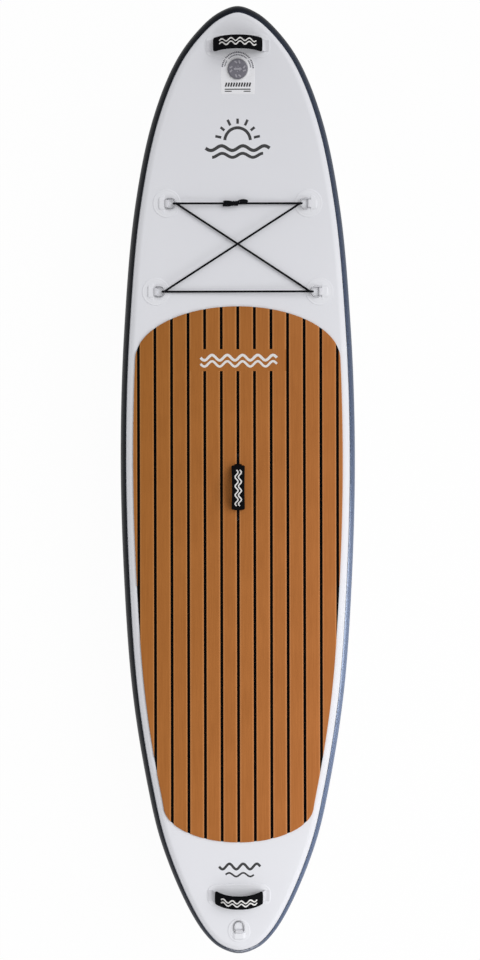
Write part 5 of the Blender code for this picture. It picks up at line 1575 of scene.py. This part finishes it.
print("valve marks:", len(dashes) + len(hatch))

# %% [markdown]
# A half sun over two waves stands in front of the net, two waves on the bridge of the pad and two smaller
# ones at the tail.

# %% Sun and waves
SUN = (0.0, 1.1610)
PAD_WAVE = (0.1300, 0.0090, 5)
sun_lines = [(arc(0.0430, 4, 176, SUN, 41), 0.0100)]
for k, bearing in enumerate(np.linspace(12, 168, 7)):
    start, end = (arc(r, bearing, bearing, SUN, 1)[0] for r in (0.0560, 0.0765 - 0.004 * (k % 2)))
    sun_lines.append((straight(start, end), 0.0085))
sun_lines.append((wave_line(0.1080, 0.0075, 3, (0.0, 1.1380)), 0.0110))
sun_lines.append((wave_line(0.0860, 0.0065, 2.5, (0.0, 1.1145)), 0.0100))
print_marks("deck_sun_and_waves", BLACK_INK, "dark_pvc", sun_lines, deck_print)
tail_lines = [(wave_line(0.0700, 0.0090, 3, (0.003, -1.2960)), 0.0085)]
tail_lines.append((wave_line(0.0480, 0.0060, 2, (0.003, -1.3230)), 0.0060))
print_marks("tail_waves", BLACK_INK, "dark_pvc", tail_lines, deck_print)
pad_lines = [(wave_line(*PAD_WAVE, (0.003, 0.4340)), 0.0090)]
pad_lines.append((wave_line(*PAD_WAVE, (0.003, 0.4130)), 0.0078))
print_marks("pad_waves", WHITE_INK, "white_webbing", pad_lines, pad_print)
print("waves: 6")

# %% [markdown]
# ## Fins
# A fin is a stack of thin foil sections from root to tip, each shorter, thinner and further back than the
# last. The sections are a table of six stations, made smooth by the same curve as the outline.

# %% Foil sections
FIN_TABLE = np.array([
    (0.0, 0.0, 1.0, 1.0), (0.25, 0.06, 0.90, 0.85), (0.5, 0.20, 0.76, 0.65),
    (0.75, 0.42, 0.56, 0.45), (0.93, 0.66, 0.33, 0.30), (1.0, 0.82, 0.14, 0.20),
])
lead_in = 2 * FIN_TABLE[:1] - FIN_TABLE[1:2]
lead_out = 2 * FIN_TABLE[-1:] - FIN_TABLE[-2:-1]
FIN_ROWS = curve_through(np.concatenate([lead_in, FIN_TABLE, lead_out]), 7)


def fin_blade(depth, chord, wall, top, matrix, lean=0.0):
    """Foil sections: the half thickness is sin(pi * c ** 0.62) at a share c of the chord, blunt in front."""
    share, back, length, thick = (v[:, None] for v in FIN_ROWS.T)
    c = (1 - np.cos(np.linspace(0, pi, 19))) / 2
    swell = np.sin(pi * c**0.62)
    c = np.concatenate([c, c[-2:0:-1], c[:1]])[None]
    half_wall = np.concatenate([swell, -swell[-2:0:-1], swell[:1]])[None] * wall * thick / 2
    z = top - depth * share
    y = chord / 2 - back * chord - chord * length * c
    x = half_wall + (z - top) * np.tan(radians(lean))
    return moved(closed_ends(np.stack([x, y, z + 0 * c], -1)), matrix)


FIN_BOX_Y = TAIL + 0.450
FIN_BOX_HALF = 0.140
FIN_BOX_HEIGHT = 0.0235
FLANGE_SINK = 0.0023
FIN_BASE_BACK, FIN_BASE_FRONT = -0.0975, 0.0975
FIN_BASE_FOOT = -0.0030
FIN_BASE_WIDTH = 0.0092
FIN_BASE_CORNER = 0.0012
FIN_DEPTH, FIN_CHORD, FIN_WALL = 0.200, 0.160, 0.0084
SIDE_FIN_DEPTH, SIDE_FIN_CHORD, SIDE_FIN_WALL = 0.110, 0.120, 0.0060
SIDE_FIN_OUT = 0.170
SIDE_FIN_CANT = 6.0


def keel_frame(x, reach, below):
    """A frame under the hull: its Y along the bottom between two points, its Z square to them."""
    low, high = rocker(FIN_BOX_Y - reach), rocker(FIN_BOX_Y + reach)
    return frame_along((0, 2 * reach, high - low), (x, FIN_BOX_Y, (low + high) / 2 - below))


# %% Fins in place
FIN_FRAME = keel_frame(0, FIN_BOX_HALF, 2 * GAP + PATCH_WALL + FLANGE_SINK)
FIN_FRAME = FIN_FRAME @ Matrix.Translation((0, 0, -FIN_BOX_HEIGHT))
blade_seat = FIN_FRAME @ Matrix.Translation((0, FIN_BASE_BACK + FIN_CHORD / 2, 0))


def fin_block(back, front, low, high):
    """A block with rounded long edges, as a section carried along the slot."""
    halves = (FIN_BASE_WIDTH / 2, (high - low) / 2)
    outline = patch_outline(*halves, FIN_BASE_CORNER, (0.0, (low + high) / 2), arc=5, straight=1.0)[0]
    y = np.array([back, back + 0.0006, front - 0.0006, front])
    size = np.array([0.93, 1.0, 1.0, 0.93])[:, None]
    middle = (low + high) / 2
    x = outline[None, :, 0] * size
    z = middle + (outline[None, :, 1] - middle) * size
    return moved(closed_ends(np.stack([x, y[:, None] + 0 * x, z], -1)), FIN_FRAME)


blade = surface(
    "fin_blade", FIN_PLASTIC, fin_blade(FIN_DEPTH, FIN_CHORD, FIN_WALL, -0.0015, blade_seat),
    fin_block(FIN_BASE_BACK, 0.0745, FIN_BASE_FOOT, 0.0185),
    fin_block(0.0725, FIN_BASE_FRONT, FIN_BASE_FOOT, 0.0085),
)
settle(blade, "fin", "black_plastic", "centre_fin")

outline = patch_outline(0.065, 0.190, 0.030, (0, FIN_BOX_Y))
fin_patch = patch("fin_box_sheet", PATCH_PVC, outline, rocker, side=-1.0)
settle(fin_patch, "hull", "white_pvc", "fin_box_patch")
for side_name, side in SIDES:
    outline = patch_outline(0.0225, 0.0825, 0.012, (side * SIDE_FIN_OUT, FIN_BOX_Y))
    sheet = patch(f"side_fin_{side_name}_sheet", PATCH_PVC, outline, rocker, side=-1.0)
    settle(sheet, "hull", "white_pvc", f"side_fin_patch_{side_name}")
    seat = keel_frame(side * SIDE_FIN_OUT, SIDE_FIN_CHORD / 2, 2 * GAP + PATCH_WALL)
    foil = fin_blade(SIDE_FIN_DEPTH, SIDE_FIN_CHORD, SIDE_FIN_WALL, 0.0, seat, -SIDE_FIN_CANT * side)
    small = surface(f"side_fin_{side_name}_blade", FIN_PLASTIC, foil)
    settle(small, "hull", "black_plastic", f"side_fin_{side_name}")

# %% [markdown]
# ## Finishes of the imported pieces
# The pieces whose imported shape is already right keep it. Each gets the finish of its material slot.

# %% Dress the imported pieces
DRESS = {
    "white_pvc": WHITE_PVC, "dark_pvc": RAIL_PVC, "thread": THREAD, "black_foam": BLACK_FOAM,
    "brown_foam": BROWN_FOAM, "black_fabric": GRIP_CLOTH, "white_webbing": WHITE_WEBBING, "steel": STEEL,
    "brass": BRASS, "grey_plastic": GREY_PLASTIC, "black_plastic": BLACK_PLASTIC, "rubber": RUBBER,
}
slot_of = {entry["node"]: entry["material_slot"] for entry in frame["record"]["subparts"]}
for name, node in frame["nodes"].items():
    piece = node if isinstance(node, bpy.types.Object) else bpy.data.objects[name]
    for held in piece.material_slots:
        held.material = DRESS[slot_of[name]]
print("packed pieces dressed:", len(frame["nodes"]))

# %% [markdown]
# ## Light, floor and backdrop
# A sun with a wide angle is a large soft lamp that lights the nose and the tail alike. A white world fills
# the shadows. Two soft boxes light only the dark band, so its sheen is set without changing the deck. The
# floor is white to the camera but keeps a soft trace of the board's shadow.

# %% Light
SUN_WAY = (0.50, 0.31, 0.81)
SUN_ENERGY = 1.40
SUN_ANGLE = 50
WORLD_FILL = 0.41
FLOOR_WHITE = 0.965

sun = added("key", bpy.data.lights.new("key", "SUN"))
sun.data.energy = SUN_ENERGY
sun.data.angle = radians(SUN_ANGLE)
sun.rotation_euler = Vector(SUN_WAY).to_track_quat("Z", "Y").to_euler()


def softbox(name, place, target, size, energy, colour=(1.0, 1.0, 1.0)):
    """A rectangle of light at a place, turned to a target, that the camera doesn't see."""
    lamp = added(name, bpy.data.lights.new(name, "AREA"))
    lamp.data.shape = "RECTANGLE"
    lamp.data.size, lamp.data.size_y = size
    lamp.data.energy = energy
    lamp.data.color = colour
    lamp.location = place
    lamp.rotation_euler = (Vector(place) - Vector(target)).to_track_quat("Z", "Y").to_euler()
    lamp.visible_camera = False
    return lamp


softbox("tail_panel", (1.5, -2.3, 2.6), (0.0, -0.9, 0.15), (1.6, 1.6), 17.0)
softbox("right_panel", (2.0, -0.6, 1.25), (0.0, -0.6, 0.15), (1.0, 3.0), 9.0)
side_glow = softbox("side_glow", (2.1, -0.9, 0.42), (0.0, -0.9, 0.15), (1.1, 3.2), 1550.0, (0.74, 0.84, 1.0))
tail_glow = softbox("tail_glow", (0.3, -3.4, 0.45), (0.0, -1.6, 0.15), (1.4, 0.9), 240.0, (0.94, 0.95, 1.0))
band_only = bpy.data.collections.new("band_only")
band_only.objects.link(rail_band)
for lamp in (side_glow, tail_glow):
    lamp.light_linking.receiver_collection = band_only

world = bpy.data.worlds.new("studio")
bpy.context.scene.world = world
world.use_nodes = True
studio = Graph(world.node_tree)
background = studio.tree.nodes["Background"]
background.inputs["Color"].default_value = (1, 1, 1, 1)
values = {"Value": studio.seen_rays(), "To Min": WORLD_FILL, "To Max": 1.0}
studio.fill(background.inputs["Strength"], studio.node("ShaderNodeMapRange", None, values))

# %% Floor
floor_z = CAD_BOX[0][2] - 0.0005
floor_mesh = bpy.data.meshes.new("floor")
corners = [(-9, -9, floor_z), (9, -9, floor_z), (9, 9, floor_z), (-9, 9, floor_z)]
floor_mesh.from_pydata(corners, [], [(0, 1, 2, 3)])
floor = added("floor", floor_mesh)
floor_paint = Paint("floor", (0.86, 0.86, 0.86), 0.9)
glow = floor_paint.node("ShaderNodeEmission", None, {"Strength": 1.0})
matt = Field(floor_paint, floor_paint.shader.outputs[0])
values = {0: floor_paint.seen_rays() * FLOOR_WHITE, 1: matt, 2: glow}
mixed = floor_paint.node("ShaderNodeMixShader", None, values)
floor_paint.fill(floor_paint.tree.nodes["Material Output"].inputs["Surface"], mixed)
floor_mesh.materials.append(floor_paint.material)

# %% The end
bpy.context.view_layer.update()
